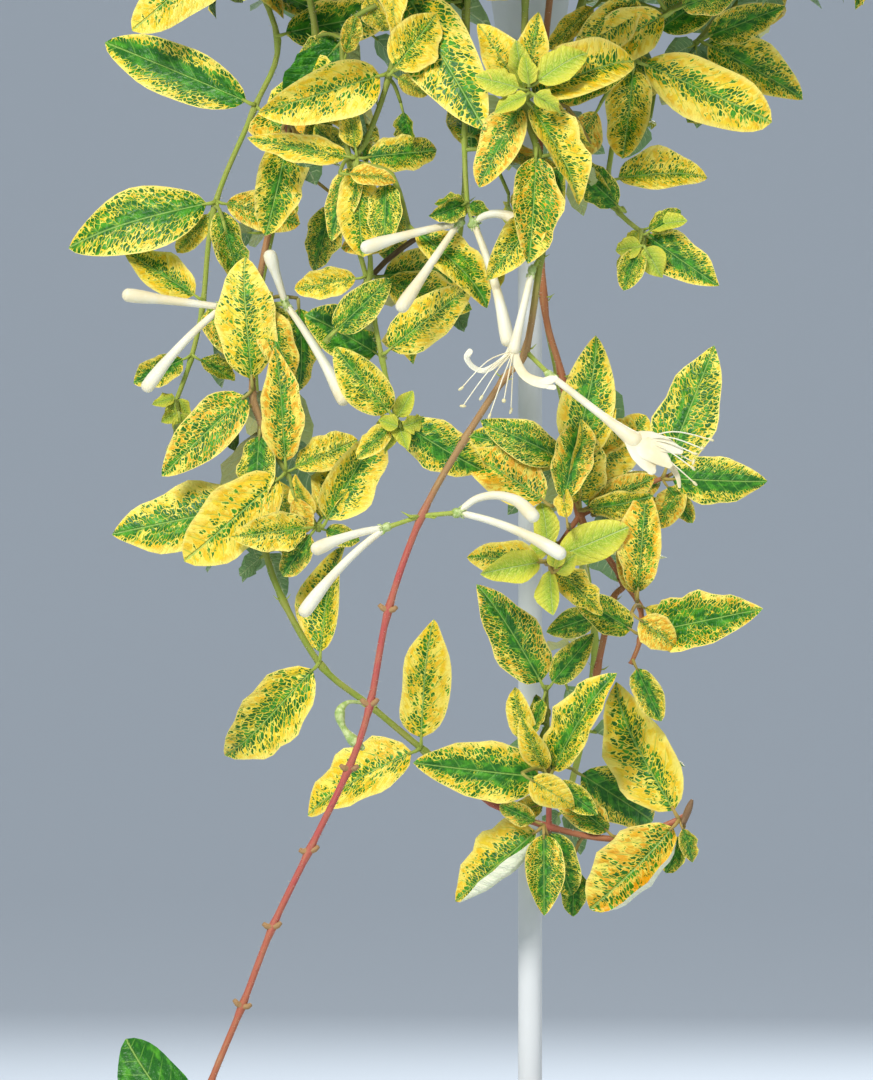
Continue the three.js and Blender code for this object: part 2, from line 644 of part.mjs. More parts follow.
const plant = new THREE.Group();
function add(name, geometry, material) {
  geometry.deleteAttribute('uv');
  const mesh = new THREE.Mesh(geometry, material);
  mesh.name = name;
  plant.add(mesh);
}

add('stand_base', turned(baseProfile, 28), standPaint);
add('stand_post', turned(postProfile, 12), standPaint);
add('stand_head', turned(headProfile, 20), standPaint);
add('saucer', turned(saucerProfile, 28), potPlastic);
add('pot', turned(potProfile, 28), potPlastic);
add('compost', turned(compostProfile, 28), compost);
add('trunk', trunkGeometry(), bark);
for (const mass of MASSES) {
  const curve = boughCurve(mass, BOUGH_STEPS);
  add(`bough_${mass.name}`, loft(limbRings(curve, BOUGH_RADIUS, BOUGH_TIP_RADIUS, 5)), bark);
  stems.push({ mass: `bough_${mass.name}`, curve, radius: BOUGH_RADIUS });
}

// All stems first, then blossom, then the leaves that show, then those that the rule adds
const shoots = {};
for (const mass of MASSES) shoots[mass.name] = mainShoot(mass);
const sides = SIDE_SHOOTS.map((row) => sideShoot(row, shoots));
const fillers = MASSES.flatMap((mass, i) => fillingShoot(mass, MASSES[(i + 1) % MASSES.length], shoots));
const blossom = [];
for (const [name, node, end, tubes] of BLOOMS) {
  const from = shoots[name].points[shoots[name].first + node];
  const base = vec(end[0], from.y - 2, end[1]);
  addStem(name, [from, base], 1, 0.9, 0.9);
  for (const [degrees, length, bend] of tubes) {
    const curve = tubeCurve(base, degrees, length, bend);
    stems.push({ mass: name, curve, radius: 1.8, bloom: true });
    blossom.push({ name, pieces: [budGeometry(curve)] });
  }
}
for (const [name, node, end, degrees, length] of OPEN_FLOWERS) {
  const from = shoots[name].points[shoots[name].first + node];
  const base = vec(end[0], from.y - 2, end[1]);
  addStem(name, [from, base], 1, 0.9, 0.9);
  const curve = tubeCurve(base, degrees, length, 0);
  stems.push({ mass: name, curve, radius: 2.4, bloom: true });
  blossom.push({ name, pieces: flowerGeometries(curve) });
}

// The crown over the pot: twigs that fan out of the trunk's head
const crownStart = trunkCentre(TRUNK_HEIGHT).add(vec(0, 0, SEAT_GAP));
const crownHead = crownStart.clone().add(vec(0, 0, 9));
const crownTwigs = [addStem('crown', [crownStart, crownHead], 1, 2.4, 2)];
const crownRandom = dice(7);
for (let twig = 0; twig < CROWN_TWIGS; twig++) {
  const bearing = twig * 360 / CROWN_TWIGS + crownRandom(-8, 8);
  const reach = crownRandom(46, 72);
  const points = [crownHead, crownHead.clone().add(around(bearing, reach * 0.5, crownRandom(4, 14))),
    crownHead.clone().add(around(bearing, reach, crownRandom(-4, 12)))];
  crownTwigs.push(addStem('crown', points, 2, SIDE_TWIG_RADIUS, 0.9));
}

for (const shoot of [...Object.values(shoots), ...sides]) {
  const random = dice(shoot.name.length * 31 + shoot.nodes.length);
  shoot.nodes.forEach(([, , ...rest], i) => {
    const base = justAbove(shoot.points, shoot.first + i);
    for (let k = 0; k < rest.length; k += 2) {
      shownLeaf(shoot.name, base, rest[k], rest[k + 1], random);
    }
  });
}
const shown = [...leaves];
for (const leaf of shown) leaf.shown = true;

// Pairs turned a quarter from node to node, at the hidden nodes and behind the ones that show
function ruledPairs(name, points, from, to, seed) {
  const random = dice(seed);
  for (let i = from; i < to; i++) {
    const way = points[Math.min(i + 1, points.length - 1)].clone().sub(points[i - 1]).normalize();
    const quarter = (i % 2) * 90 + random(-20, 20);
    for (const half of [0, 180]) {
      ruledLeaf(name, justAbove(points, i), way, quarter + half, random, (leaf) => hidden(leaf, shown));
    }
  }
}
for (const [i, mass] of MASSES.entries()) {
  const shoot = shoots[mass.name];
  ruledPairs(mass.name, shoot.points, 1, shoot.points.length, 100 + i);
}
sides.forEach((shoot, i) => ruledPairs(shoot.name, shoot.points, 1, shoot.points.length, 200 + i));
fillers.forEach((shoot, i) => ruledPairs(shoot.name, shoot.points, 1, shoot.points.length, 400 + i));
crownTwigs.slice(1).forEach((stem, i) => ruledPairs('crown', stem.curve, 2, stem.curve.length, 300 + i));

for (const name of [...MASSES.map((mass) => mass.name), 'crown']) {
  const pieces = stems.filter((stem) => stem.mass === name && !stem.bloom)
    .map((stem) => loft(limbRings(stem.curve, stem.radius, stem.endRadius, 3)));
  blossom.filter((flower) => flower.name === name).forEach((flower) => pieces.push(...flower.pieces));
  leaves.filter((leaf) => leaf.mass === name).forEach((leaf) => pieces.push(leafGeometry(leaf)));
  add(`foliage_${name}`, fuse(pieces), netted);
}

export default plant;
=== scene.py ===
# A potted gold-net honeysuckle that trails over the rim of its pot, on a slim stand.
# The plant grows by the rule of its solids, in millimetres, and every mesh is brought to metres at the end.
import math
from collections import namedtuple
from types import SimpleNamespace

import bmesh
import bpy
import numpy as np
from mathutils import Matrix, Vector, noise


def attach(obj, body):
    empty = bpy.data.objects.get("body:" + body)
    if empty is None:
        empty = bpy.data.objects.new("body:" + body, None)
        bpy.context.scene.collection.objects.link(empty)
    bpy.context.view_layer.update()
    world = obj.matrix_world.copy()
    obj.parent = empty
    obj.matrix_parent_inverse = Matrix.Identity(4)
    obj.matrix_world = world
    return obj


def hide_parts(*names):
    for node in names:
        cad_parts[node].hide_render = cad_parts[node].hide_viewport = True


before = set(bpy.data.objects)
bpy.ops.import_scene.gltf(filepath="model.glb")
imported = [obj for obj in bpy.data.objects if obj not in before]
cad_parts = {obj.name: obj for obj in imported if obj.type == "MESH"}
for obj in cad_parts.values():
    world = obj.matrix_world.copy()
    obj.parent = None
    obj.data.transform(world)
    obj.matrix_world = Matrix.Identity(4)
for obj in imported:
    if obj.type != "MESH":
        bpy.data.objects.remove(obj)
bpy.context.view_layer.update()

MM = 0.001

# Stand, saucer, pot, compost and trunk
BASE_RADIUS = 105
BASE_THICKNESS = 7
BOSS_RADIUS = 13
BOSS_TOP = 22
POST_RADIUS = 4
PLATE_TOP = 448
PLATE_THICKNESS = 3
PLATE_RADIUS = 56
HUB_HEIGHT = 28
SAUCER_RADIUS = 66
SAUCER_FLOOR = 2
SAUCER_HEIGHT = 11
SEAT_GAP = 0.3
POT_HEIGHT = 110
POT_FOOT_RADIUS = 52
POT_RIM_RADIUS = 71
POT_WALL = 2.2
RIM_HEIGHT = 13
RIM_OUT = 3.5
ROUND_SIDES = 96
COMPOST_BELOW_RIM = 11
TRUNK_HEIGHT = 32
TRUNK_FLARE = 13
TRUNK_RADIUS = 8
TRUNK_LEAN = 3
TRUNK_END = (6.4, 5)
CHIPS = 260

# Boughs, shoots and leaves
BOUGH_REACH = 80
BOUGH_TIP_RISE = 24
BOUGH_TIERS = (12, 22)
BOUGH_ROOT_GAP = 0.6
BOUGH_RADIUS = 2.2
BOUGH_TIP_RADIUS = 1.7
BOUGH_STEPS = 6
STEM_GAP = 0.9
START_RUN = 9
WIDE_GAP = 26
FILLER_RUN = ((0.5, 4, 4), (0.9, 9, -18), (1, 12, -46), (1, 10, -74), (1, 4, -100))
CROWN_TWIGS = 7
TWIG_RADIUS = 1.4
SIDE_TWIG_RADIUS = 1.2
LEAF_WIDTH = (0.45, 0.55)
PETIOLE = 3.5
NODE_STEP = 1.8
CLEAR = 1.9
FINE_CLEAR = 0.5
SAMPLE_STEP = 4
SAMPLES_ACROSS = (-0.95, -0.48, 0, 0.48, 0.95)
FRAME_TOP = 440
SEEN_SHARE = 0.2
CROSSED_FROM = 0.12
LEAF_REACH = 0.6
FRONT_REACH = 0.62
OWN_NODE = 14
LIMB_EASE = 0.6
JOINED_SHARE = 0.4
SET_FORWARD = 2.4
MIRRORED_FORWARD = 2.8
LATE_FORWARD = 1.5
FILL_LEAF_WIDTH = 0.5
EDGE_ON = 0.2
LEANS = (12, -12, 22, -22, 32, -32, 42, -42, 52, -52)
TURNS = (0, 28, -28, 56, -56, 84, -84)
MOST_LEAVES = 6000
SMALL_LEAF = 15
BIG_LEAF = 24
# Rows and columns of a leaf's mesh, by whether the front view shows it and whether it is big
LEAF_GRIDS = {(True, True): (14, 4), (True, False): (9, 4), (False, True): (8, 4), (False, False): (6, 2)}
ROLLED_COLUMNS = 16

POT_FOOT = PLATE_TOP + SEAT_GAP + SAUCER_FLOOR + SEAT_GAP
POT_TOP = POT_FOOT + POT_HEIGHT
COMPOST_TOP = POT_TOP - COMPOST_BELOW_RIM
TRUNK_FOOT = COMPOST_TOP + SEAT_GAP
TRUNK_TOP = TRUNK_FOOT + TRUNK_HEIGHT

# How golden a leaf is runs from PLAIN green to 1. LIME is a young leaf. AHEAD is how far a leaf that lies
# before its neighbours is set forward.
PLAIN = 0.0
LIME = 2.0
AHEAD = 7

# One line for each mass of foliage: its name, the way its bough points in degrees from +X, the tier
# of the trunk that the bough leaves, and the depth of the mass at its first and last node.
MASSES = [
    ("left", 190, 0, -14, -6), ("left_front", 212, 1, -46, -27), ("front_left", 236, 0, -68, -62),
    ("front", 256, 1, -77, -74), ("long_shoot", 274, 0, -88, -74), ("centre", 290, 1, -72, -32),
    ("right_front", 318, 0, -48, -56), ("right", 350, 1, -14, -10), ("back_right", 25, 0, 34, 20),
    ("back", 65, 1, 72, 34), ("back_middle", 105, 0, 76, 62), ("back_left", 145, 1, 46, 26),
]

# The nodes of each main shoot from the top down: place across, height, and then the heading, the
# length and the gold of each leaf there, as the front view shows them. Some have how broad they are
# for their length, and AHEAD if they lie before their neighbours.
NODES = {
    "left": [
        (-96, 458, (220, 47, 1.0)), (-84, 426, (13, 41, 0.1)), (-92, 403, (157, 57, 0.2, 0.76)),
        (-105, 371, (192, 52, 0.3), (347, 28, 0.6), (285, 26, 0.4)), (-109, 338, (148, 32, 0.9), (300, 23, 0.5)),
        (-113, 320, (207, 22, 0.4), (329, 17, 0.3)), (-118, 306, (195, 9, LIME), (250, 10, LIME), (300, 8, LIME)),
    ],
    "left_front": [
        (-71, 426), (-76, 412), (-80, 396, (260, 37, 0.45)), (-85, 370), (-91, 338, (296, 28, 0.6)),
        (-92, 308, (95, 42, 0.65, 0.98), (222, 41, 0.5)), (-89, 296, (265, 28, 0.1)), (-89, 270, (190, 51, 0.45)),
        (-88, 257), (-82, 240), (-69, 218, (85, 40, 0.6, 1.1), (227, 47, 0.6)), (-53, 205),
        (-35, 190, (88, 43, 0.9, 1.2), (205, 45, 0.85)), (-13, 173),
        (6, 165, (293, 26, 0.15), (221, 39, 0.85), (156, 16, 0.4), (270, 30, 0.3)), (30, 161, (140, 29, 0.3)),
        (51, 168, (121, 50, 0.9), (229, 42, 0.9), (290, 15, 0.3)),
    ],
    "front_left": [
        (-42, 440, (299, 54, 0.45), (265, 20, 0.6)), (-47, 412, (198, 45, 0.85), (20, 20, 0.9), (330, 15, 0.6)),
        (-54, 392),
        (-58, 384, (170, 37, 0.8, 0.6), (100, 19, 0.6), (147, 20, 0.5), (272, 33, 0.9), (250, 28, 0.4),
         (7, 28, 0.5)),
        (-58, 362), (-54, 345, (190, 24, 0.8)), (-49, 319, (38, 38, 0.7)),
        (-44, 298, (132, 30, 0.55), (225, 18, 0.6), (327, 34, 0.4), (60, 11, LIME), (250, 12, LIME),
         (200, 9, LIME), (290, 11, LIME)),
    ],
    "front": [(-21, 440, (185, 18, 0.6), (350, 16, 0.6)), (-22, 392),
              (-21, 369, (182, 11, 0.1), (202, 13, 0.1), (330, 9, 0.1))],
    "long_shoot": [
        (-2, 440, (45, 22, 0.6)),
        (-2, 403, (24, 39, 0.8), (241, 33, 0.7), (303, 38, 0.75), (122, 28, 1.0), (82, 27, 0.9), (37, 27, LIME),
         (157, 15, LIME), (100, 18, LIME), (323, 27, 0.7)),
        (2, 387, (267, 38, 0.5)), (5, 368, (232, 30, 0.6)), (3, 353), (-2, 322), (-9, 313), (-22, 293), (-36, 268),
        (-47, 237), (-53, 206), (-60, 185), (-73, 158), (-85, 133), (-95, 107), (-106, 80),
        (-111, 61, (126, 41, PLAIN), (330, 38, PLAIN)), (-112, 48, (235, 13, PLAIN), (310, 12, PLAIN)),
    ],
    "centre": [
        (8, 452), (3, 400), (4, 340), (10, 314),
        (14, 283, (78, 41, 0.5), (162, 37, 0.45), (152, 32, 0.3), (55, 23, 0.9), (37, 26, 0.8)),
        (16, 268, (85, 29, 0.6), (24, 26, 0.7), (110, 16, 0.5), (8, 24, 0.5)), (30, 247), (27, 240), (22, 217),
        (20, 203, (240, 16, 0.3)),
    ],
    "right_front": [
        (66, 446), (45, 434, (210, 40, 0.8), (18, 25, 0.3)), (33, 417, (336, 50, 0.8), (264, 33, 0.6)),
        (25, 377, (8, 33, 0.75)), (29, 368, (132, 20, 0.1)),
        (37, 361, (255, 18, LIME), (324, 32, 0.35), (15, 15, LIME), (230, 7, LIME), (300, 12, LIME)),
    ],
    "right": [(78, 456), (55, 425, (332, 40, 0.5), (20, 30, 0.4))],
    "back_right": [(76, 450), (60, 430), (42, 420)],
    "back": [(20, 450), (7, 402), (4, 366), (5, 340), (10, 314), (15, 287), (18, 258), (22, 226), (18, 195),
             (12, 170)],
    "back_middle": [(-22, 450), (-22, 410), (-22, 374), (-27, 340)],
    "back_left": [(-72, 450), (-76, 412), (-84, 374), (-91, 338), (-91, 305), (-82, 281), (-88, 256)],
}

# Masses whose main shoots end in a young tip of four leaves
LIME_TIPS = ("back_right", "back", "back_middle", "back_left", "right")

# Side shoots: the mass, the node of its main shoot that each leaves, its change of depth, its nodes.
SIDE_SHOOTS = [
    ("left_front", 5, -5, [
        (-87, 293), (-80, 281, (94, 40, 0.65, 0.8), (222, 44, 1.0), (25, 26, 0.6)),
        (-70, 263, (117, 18, 1.0), (64, 29, 0.6), (188, 27, 0.65), (235, 20, 0.4), (340, 15, 0.4), (50, 16, 0.6))]),
    ("left_front", 14, -3, [
        (6, 183, (174, 45, 0.35), (64, 38, 0.5), (116, 21, 0.9), (323, 20, 0.2)),
        (5, 212, (120, 40, 0.25), (51, 24, 0.15), (250, 15, 0.3))]),
    ("front_left", 0, 4, [(-60, 430), (-62, 415, (75, 16, 0.5)), (-60, 385), (-53, 347), (-68, 325, (43, 28, 0.4))]),
    ("front_left", 3, -4, [(-46, 380, (268, 26, 0.3)), (-40, 362, (322, 36, 0.5))]),
    ("centre", 5, 5, [(30, 275), (45, 281, (69, 47, 0.3), (358, 34, 0.15), (305, 18, 0.4))]),
    ("centre", 5, -9, [
        (9, 258), (5, 252, (177, 27, 0.85), (23, 28, LIME), (190, 23, LIME, 1.1, AHEAD),
                   (273, 18, LIME, 1.15, AHEAD), (315, 25, 0.7), (95, 19, LIME))]),
    ("centre", 6, 2, [
        (36, 238, (86, 36, 0.65, 0.9, AHEAD), (325, 19, 1.0), (100, 22, 0.7)),
        (36, 227, (149, 27, 0.3), (13, 41, 0.3)), (33, 219, (294, 23, 0.25))]),
]

# Blossom: the mass, the node, where each stalk ends, and its tubes' headings, lengths and bends. Leaves keep
# clear of each tube by its clearance. Below the last node with blossom, the long shoot has bare collars.
BLOOMS = [
    ("left_front", 4, (-102, 337), ((173, 32, 0), (221, 37, 12))),
    ("left_front", 4, (-81, 338), ((108, 17, 0), (305, 38, -8))),
    ("front", 2, (-24, 364), ((192, 32, 6), (236, 34, 0))),
    ("front", 2, (-19, 364), ((34, 17, -50), (291, 36, -10))),
    ("long_shoot", 8, (-48, 264), ((190, 24, 14), (219, 39, 14))),
    ("long_shoot", 8, (-24, 269), ((38, 29, -58), (346, 37, -16))),
]
TUBE_CLEARANCE = {"bud": 1.8, "open": 2.4}
LONG_TUBE = ("front", 291)
LONG_TUBE_GROWTH = 1.15
LAST_BLOOM = 8
OPEN_FLOWERS = [("long_shoot", 4, (0, 348), 257, 27), ("long_shoot", 5, (6, 314), 322, 36)]

# Each open flower's mouth: how wide it is, its lips as places from its middle, widths and the way they
# face, and the ends of its filaments, each with its bow. The last filament is the style.
FLOWER_PARTS = [
    (2.0,
     [([(-2.5, 0, -2.5), (-6.2, -1, -5.4), (-10, -2, -7.1), (-13.4, -3, -5.9), (-15.4, -4, -3),
        (-14.4, -4.5, -0.9)], (2.4, 2.2, 2.0, 2.1, 2.2, 2.2, 2.0), (0.3, -1, 0.6)),
      ([(0.4, -1, -2.7), (3, -2, -8), (6.3, -3, -10.3), (9.7, -3.5, -11.2)], (2.8, 3.2, 3.2, 3.3, 3.8, 3.8),
       (0.2, -1, 0.3)),
      ([(7.6, -3.3, -10.7), (10.4, -3.6, -10.5), (13.5, -4, -9.6)], (1.2, 2.2, 2.8, 2.9, 1.9), (0.2, -1, 0.3)),
      ([(7.6, -3.3, -11), (10, -3.6, -11.6), (13, -4, -12.6)], (1.2, 2.2, 2.7, 2.6, 1.8), (0.2, -1, 0.3))],
     [(-17.3, -6, -13, 2.5), (-16.7, -4, -18.7, 2), (-10.7, -7, -16, 1), (-8, -5, -22, 0.5), (-1, -4, -20.3, 0),
      (-3.3, -8, -17, 0.5)]),
    (3.2,
     [([(1.2, -2.4, -2.4), (3.7, -3.4, -6.2), (5.5, -4, -9.6)], (4.6, 6.6, 7.8, 6.6, 3.4), (0.3, -1, 0.1)),
      ([(2.4, -1.6, 0.4), (8.5, -2.6, -0.9), (14.9, -3.4, -3.4)], (3.4, 5.6, 6.8, 5.4, 2.2), (0, -1, 0.3)),
      ([(2.4, -2.6, -1.6), (7, -3.4, -4.4), (11.2, -4, -7.9)], (3.6, 6.4, 8.4, 6.4, 2.6), (0.1, -1, 0.2)),
      ([(3.5, 1.6, -3), (10.4, 1, -6.8), (13.9, 0, -11.3), (14.7, -1, -15)], (3.4, 3.0, 2.6, 2.0, 1.2),
       (0.5, -1, 0))],
     [(25, -3, 0.3, 2.8), (19.7, -5, -4.3, 1.8), (19.3, -2, -7, 1.2), (19.7, -4, -14, 1.5), (19, -6, -9, 2),
      (22, -6, -2.6, 2.4)]),
]

# Leaves of short side twigs that fill the front view: the mass, the place of the base across, in depth
# and in height, the heading, the length, the gold and how wide it is for its length.
FILL = [
    ("left", -102, -22, 366, 285, 24, 0.15, 0.9), ("left_front", -65, -30, 374, 255, 27, 0.35, 1),
    ("front_left", -45, -46, 378, 265, 27, 0.4, 1), ("front_left", -52, -50, 347, 5, 38, 0.55, 1),
    ("front_left", -51, -56, 346, 343, 33, 0.5, 1.05), ("front_left", -48, -48, 320, 150, 30, 0.05, 1.2),
    ("left_front", -77, -38, 340, 275, 31, 0.35, 0.95), ("left_front", -69, -50, 264, 60, 38, 0.7, 1),
    ("left_front", -79, -50, 277, 290, 16, 0.95, 1.1), ("left_front", -62, -58, 425, 228, 29, PLAIN, 1.1),
    ("left_front", -58, -50, 425, 200, 22, 0.05, 1.2), ("front_left", -47, -88, 412, 52, 27, 0.85, 1.4),
    ("front_left", -63, -77, 380.5, 355, 19, 1.0, 0.85),
    ("front_left", -43, -64, 404, 285, 15, 0.2, 1.2), ("left_front", -67, -44, 404, 250, 18, 0.3, 1.1),
    ("left_front", -60, -40, 405, 285, 21, 0.35, 1), ("front_left", -43, -86, 457, 262, 31, 0.95, 0.8),
    ("front_left", -56, -66, 441, 300, 16, 0.6, 1.1), ("front_left", -23, -70, 437, 182, 19, 0.1, 1.3),
    ("long_shoot", -1, -97, 408, 35, 23, LIME, 1.1), ("long_shoot", -1, -97, 407, 165, 18, LIME, 1.1),
    ("long_shoot", -1, -99, 406, 205, 13, LIME, 1), ("long_shoot", -1, -99, 408, 95, 12, LIME, 1),
    ("long_shoot", 0, -99, 406, 330, 12, LIME, 1), ("right_front", 23, -62, 404, 241, 27, 0.85, 1),
    ("right_front", 40, -40, 427, 35, 30, 0.1, 1.15), ("right_front", 37, -56, 442, 228, 33, 0.75, 1),
    ("right_front", 23, -50, 438, 222, 24, 0.6, 0.7), ("right_front", 31, -60, 368, 138, 24, 0.05, 1.1),
    ("right_front", 36, -62, 360, 32, 16, 0.3, 1), ("right_front", 36, -64, 359, 252, 18, 0.3, 1.1),
    ("right_front", 37, -66, 357, 300, 13, LIME, 1.3), ("right_front", 37, -66, 357, 190, 10, LIME, 1.3),
    ("long_shoot", 4, -80, 384, 256, 28, 0.35, 1), ("centre", 9, -42, 286, 160, 24, 0.1, 1.1),
    ("centre", 10, -66, 270, 78, 31, 0.4, 0.95), ("centre", 12, -68, 264, 97, 15, 1.0, 0.95),
    ("centre", 23, -50, 280, 55, 27, 0.85, 1.1), ("centre", 19, -48, 274, 12, 25, 0.5, 1.05),
    ("centre", 52, -46, 281, 237, 20, 0.65, 1.1), ("centre", 20, -50, 268, 15, 23, 0.8, 0.95),
    ("centre", 33, -62, 236, 322, 19, 1.0, 1.35), ("left_front", 2, -34, 190, 117, 22, 0.85, 1),
    ("left_front", 5, -30, 198, 110, 12, 0.1, 1.2), ("left_front", -3, -44, 183, 325, 21, 1.0, 1.2),
    ("left_front", 14, -24, 184, 328, 35, 0.2, 1.05), ("left_front", 14, -22, 154, 272, 19, 0.05, 1.05),
    ("left_front", 5, -24, 173, 200, 14, 0.6, 1), ("left_front", 51, -24, 165, 250, 17, 0.1, 1),
    ("centre", 7, -61, 271, 145, 37, 0.85, 1.15), ("centre", 8, -70, 250, 90, 9, LIME, 1.2),
    ("centre", 7, -70, 249, 40, 11, LIME, 1.2), ("left", -117, -12, 303, 215, 7, LIME, 1.3),
    ("left", -117, -12, 303, 285, 10, LIME, 1.3), ("front_left", -43, -68, 297, 20, 9, LIME, 1.3),
    ("front_left", -43, -68, 297, 160, 8, LIME, 1.3), ("left", -105, -10, 371, 232, 20, 0.6, 0.9),
    ("front_left", -41, -66, 360, 188, 22, 0.8, 1), ("left_front", -88, -24, 282, 250, 24, 0.05, 1.2),
    ("centre", 30, -44, 250, 75, 20, 0.6, 1), ("centre", 24, -40, 236, 200, 20, 0.15, 1.1),
    ("centre", 18, -54, 278, 50, 25, 0.9, 1.5),
]

# Dry stubs and an old twig: the mass, the kind, the radii and the points
STUBS = [
    ("left_front", "stub", 1.2, 1.2, [(6, -29, 164), (5, -26, 159), (3.5, -25, 155)]),
    ("front_left", "old", 1.0, 0.8, [(-33, -46, 363), (-48, -50, 352), (-60, -50, 338), (-68, -46, 329)]),
    ("left_front", "stub", 1.2, 1.2, [(50.5, -28, 166), (52, -29, 170), (53.5, -30, 174)]),
]
POD = [(-55.5, -75.5, 206.5), (-60, -77, 206.8), (-62.8, -78, 204), (-62.2, -78, 199.3), (-59, -78, 194.8),
       (-55.6, -78, 191.8)]

# Colours of stems, each as it is along the shoot from the height where it starts down
OLIVE = (0.22, 0.29, 0.03)
PALE_OLIVE = (0.34, 0.43, 0.06)
CRIMSON = (0.45, 0.075, 0.07)
RUST = (0.4, 0.13, 0.05)
TAN = (0.36, 0.2, 0.08)
BROWN = (0.2, 0.11, 0.055)
OLD_WOOD = (0.11, 0.06, 0.03)
STEM_TONES = {
    "left": [(600, OLIVE), (300, PALE_OLIVE)],
    "left_front": [(600, BROWN), (425, OLIVE), (400, RUST), (372, RUST), (345, TAN), (300, TAN), (285, OLIVE),
                   (190, OLIVE), (172, CRIMSON), (160, RUST)],
    "front_left": [(600, BROWN), (430, OLIVE), (300, PALE_OLIVE)],
    "front": [(600, OLIVE), (360, PALE_OLIVE)],
    "long_shoot": [(600, BROWN), (420, OLIVE), (350, OLIVE), (330, TAN), (278, TAN), (262, CRIMSON),
                   (150, CRIMSON), (60, RUST)],
    "centre": [(600, BROWN), (350, RUST), (200, RUST)],
    "right_front": [(600, OLIVE), (360, PALE_OLIVE)],
}
OTHER_STEMS = [(600, BROWN), (470, OLIVE), (250, PALE_OLIVE)]

# A shoot: its mass, its points, which of them is its first node, and its nodes
Shoot = namedtuple("Shoot", "name points first nodes")


class Dice:
    """A small generator that gives the same numbers for the same seed"""

    def __init__(self, seed):
        self.state = seed

    def __call__(self, low, high):
        self.state = (self.state * 1664525 + 1013904223) % 4294967296
        return low + (high - low) * self.state / 4294967296

    def pick(self, count):
        return int(self(0, count))


def vec(x, y, z):
    return np.array([x, y, z], dtype=float)


def unit(v):
    return v / np.linalg.norm(v)


UP = vec(0, 0, 1)
FRONT = vec(0, -1, 0)
MIRROR = vec(1, -1, 1)


def around(bearing, radius, height):
    """Polar place round the trunk's axis"""
    angle = math.radians(bearing)
    return vec(radius * math.cos(angle), radius * math.sin(angle), height)


def heading(degrees, lean):
    """A heading in the plane of the front view, leaning out of it"""
    flat = math.cos(math.radians(lean))
    angle = math.radians(degrees)
    return vec(math.cos(angle) * flat, math.sin(math.radians(lean)), math.sin(angle) * flat)


def turned_about(v, axis, angle):
    c, s = math.cos(angle), math.sin(angle)
    return v * c + np.cross(axis, v) * s + axis * np.dot(axis, v) * (1 - c)


def smooth(points, steps):
    """A smooth curve through the points, with a number of steps between neighbours"""
    curve = []
    for i in range(len(points) - 1):
        four = (points[max(i - 1, 0)], points[i], points[i + 1], points[min(i + 2, len(points) - 1)])
        for step in range(steps):
            t = step / steps
            weights = (-t + 2 * t * t - t ** 3, 2 - 5 * t * t + 3 * t ** 3,
                       t + 4 * t * t - 3 * t ** 3, -t * t + t ** 3)
            curve.append(sum(p * w / 2 for p, w in zip(four, weights)))
    return [*curve, points[-1].copy()]


def run_of(first, last, count):
    """Evenly spaced numbers from the first to the last"""
    return [first + (last - first) * i / count for i in range(count + 1)]


# The rule that the solids follow

def furniture_radius(height):
    """How far the pot and the stand reach from the axis at a height"""
    under = PLATE_TOP - PLATE_THICKNESS
    for top, radius in ((BASE_THICKNESS + 4, BASE_RADIUS), (PLATE_TOP - HUB_HEIGHT - CLEAR, POST_RADIUS),
                        (under - CLEAR, BOSS_RADIUS + 8), (PLATE_TOP + SEAT_GAP + SAUCER_HEIGHT, SAUCER_RADIUS),
                        (POT_TOP, POT_RIM_RADIUS), (TRUNK_TOP, TRUNK_FLARE)):
        if height < top:
            return radius
    return 0


def trunk_centre(rise):
    return vec(TRUNK_LEAN * rise / TRUNK_HEIGHT, 0, TRUNK_FOOT + rise)


def trunk_radius(rise):
    return TRUNK_RADIUS + (TRUNK_FLARE - TRUNK_RADIUS) * math.exp(-rise / 5) - rise / 40


def bough_curve(bearing, tier, steps):
    """Each bough leaves the trunk level, rises over the rim and turns down at its tip"""
    random = Dice(bearing)
    rise = BOUGH_TIERS[tier]
    start = trunk_centre(rise) + around(bearing, trunk_radius(rise) + BOUGH_ROOT_GAP, 0)
    reach = BOUGH_REACH + random(-2, 3)
    tip = around(bearing, reach, TRUNK_FOOT + BOUGH_TIP_RISE + random(-5, 5))
    first = start + around(bearing, 24, 3)
    second = tip + around(bearing, -16, 15)
    return [start * (1 - t) ** 3 + first * 3 * t * (1 - t) ** 2 + second * 3 * t * t * (1 - t) + tip * t ** 3
            for t in (step / steps for step in range(steps + 1))]


class Stem:
    """A stem as a chain of points, with its radius at both ends"""

    def __init__(self, mass, points, steps, radius, end_radius, kind="shoot"):
        self.mass, self.points, self.kind = mass, points, kind
        self.curve = smooth(points, steps) if steps else points
        self.radius, self.end_radius = radius, end_radius
        chain = np.array(self.curve)
        self.starts, self.spans = chain[:-1], chain[1:] - chain[:-1]
        stems.append(self)


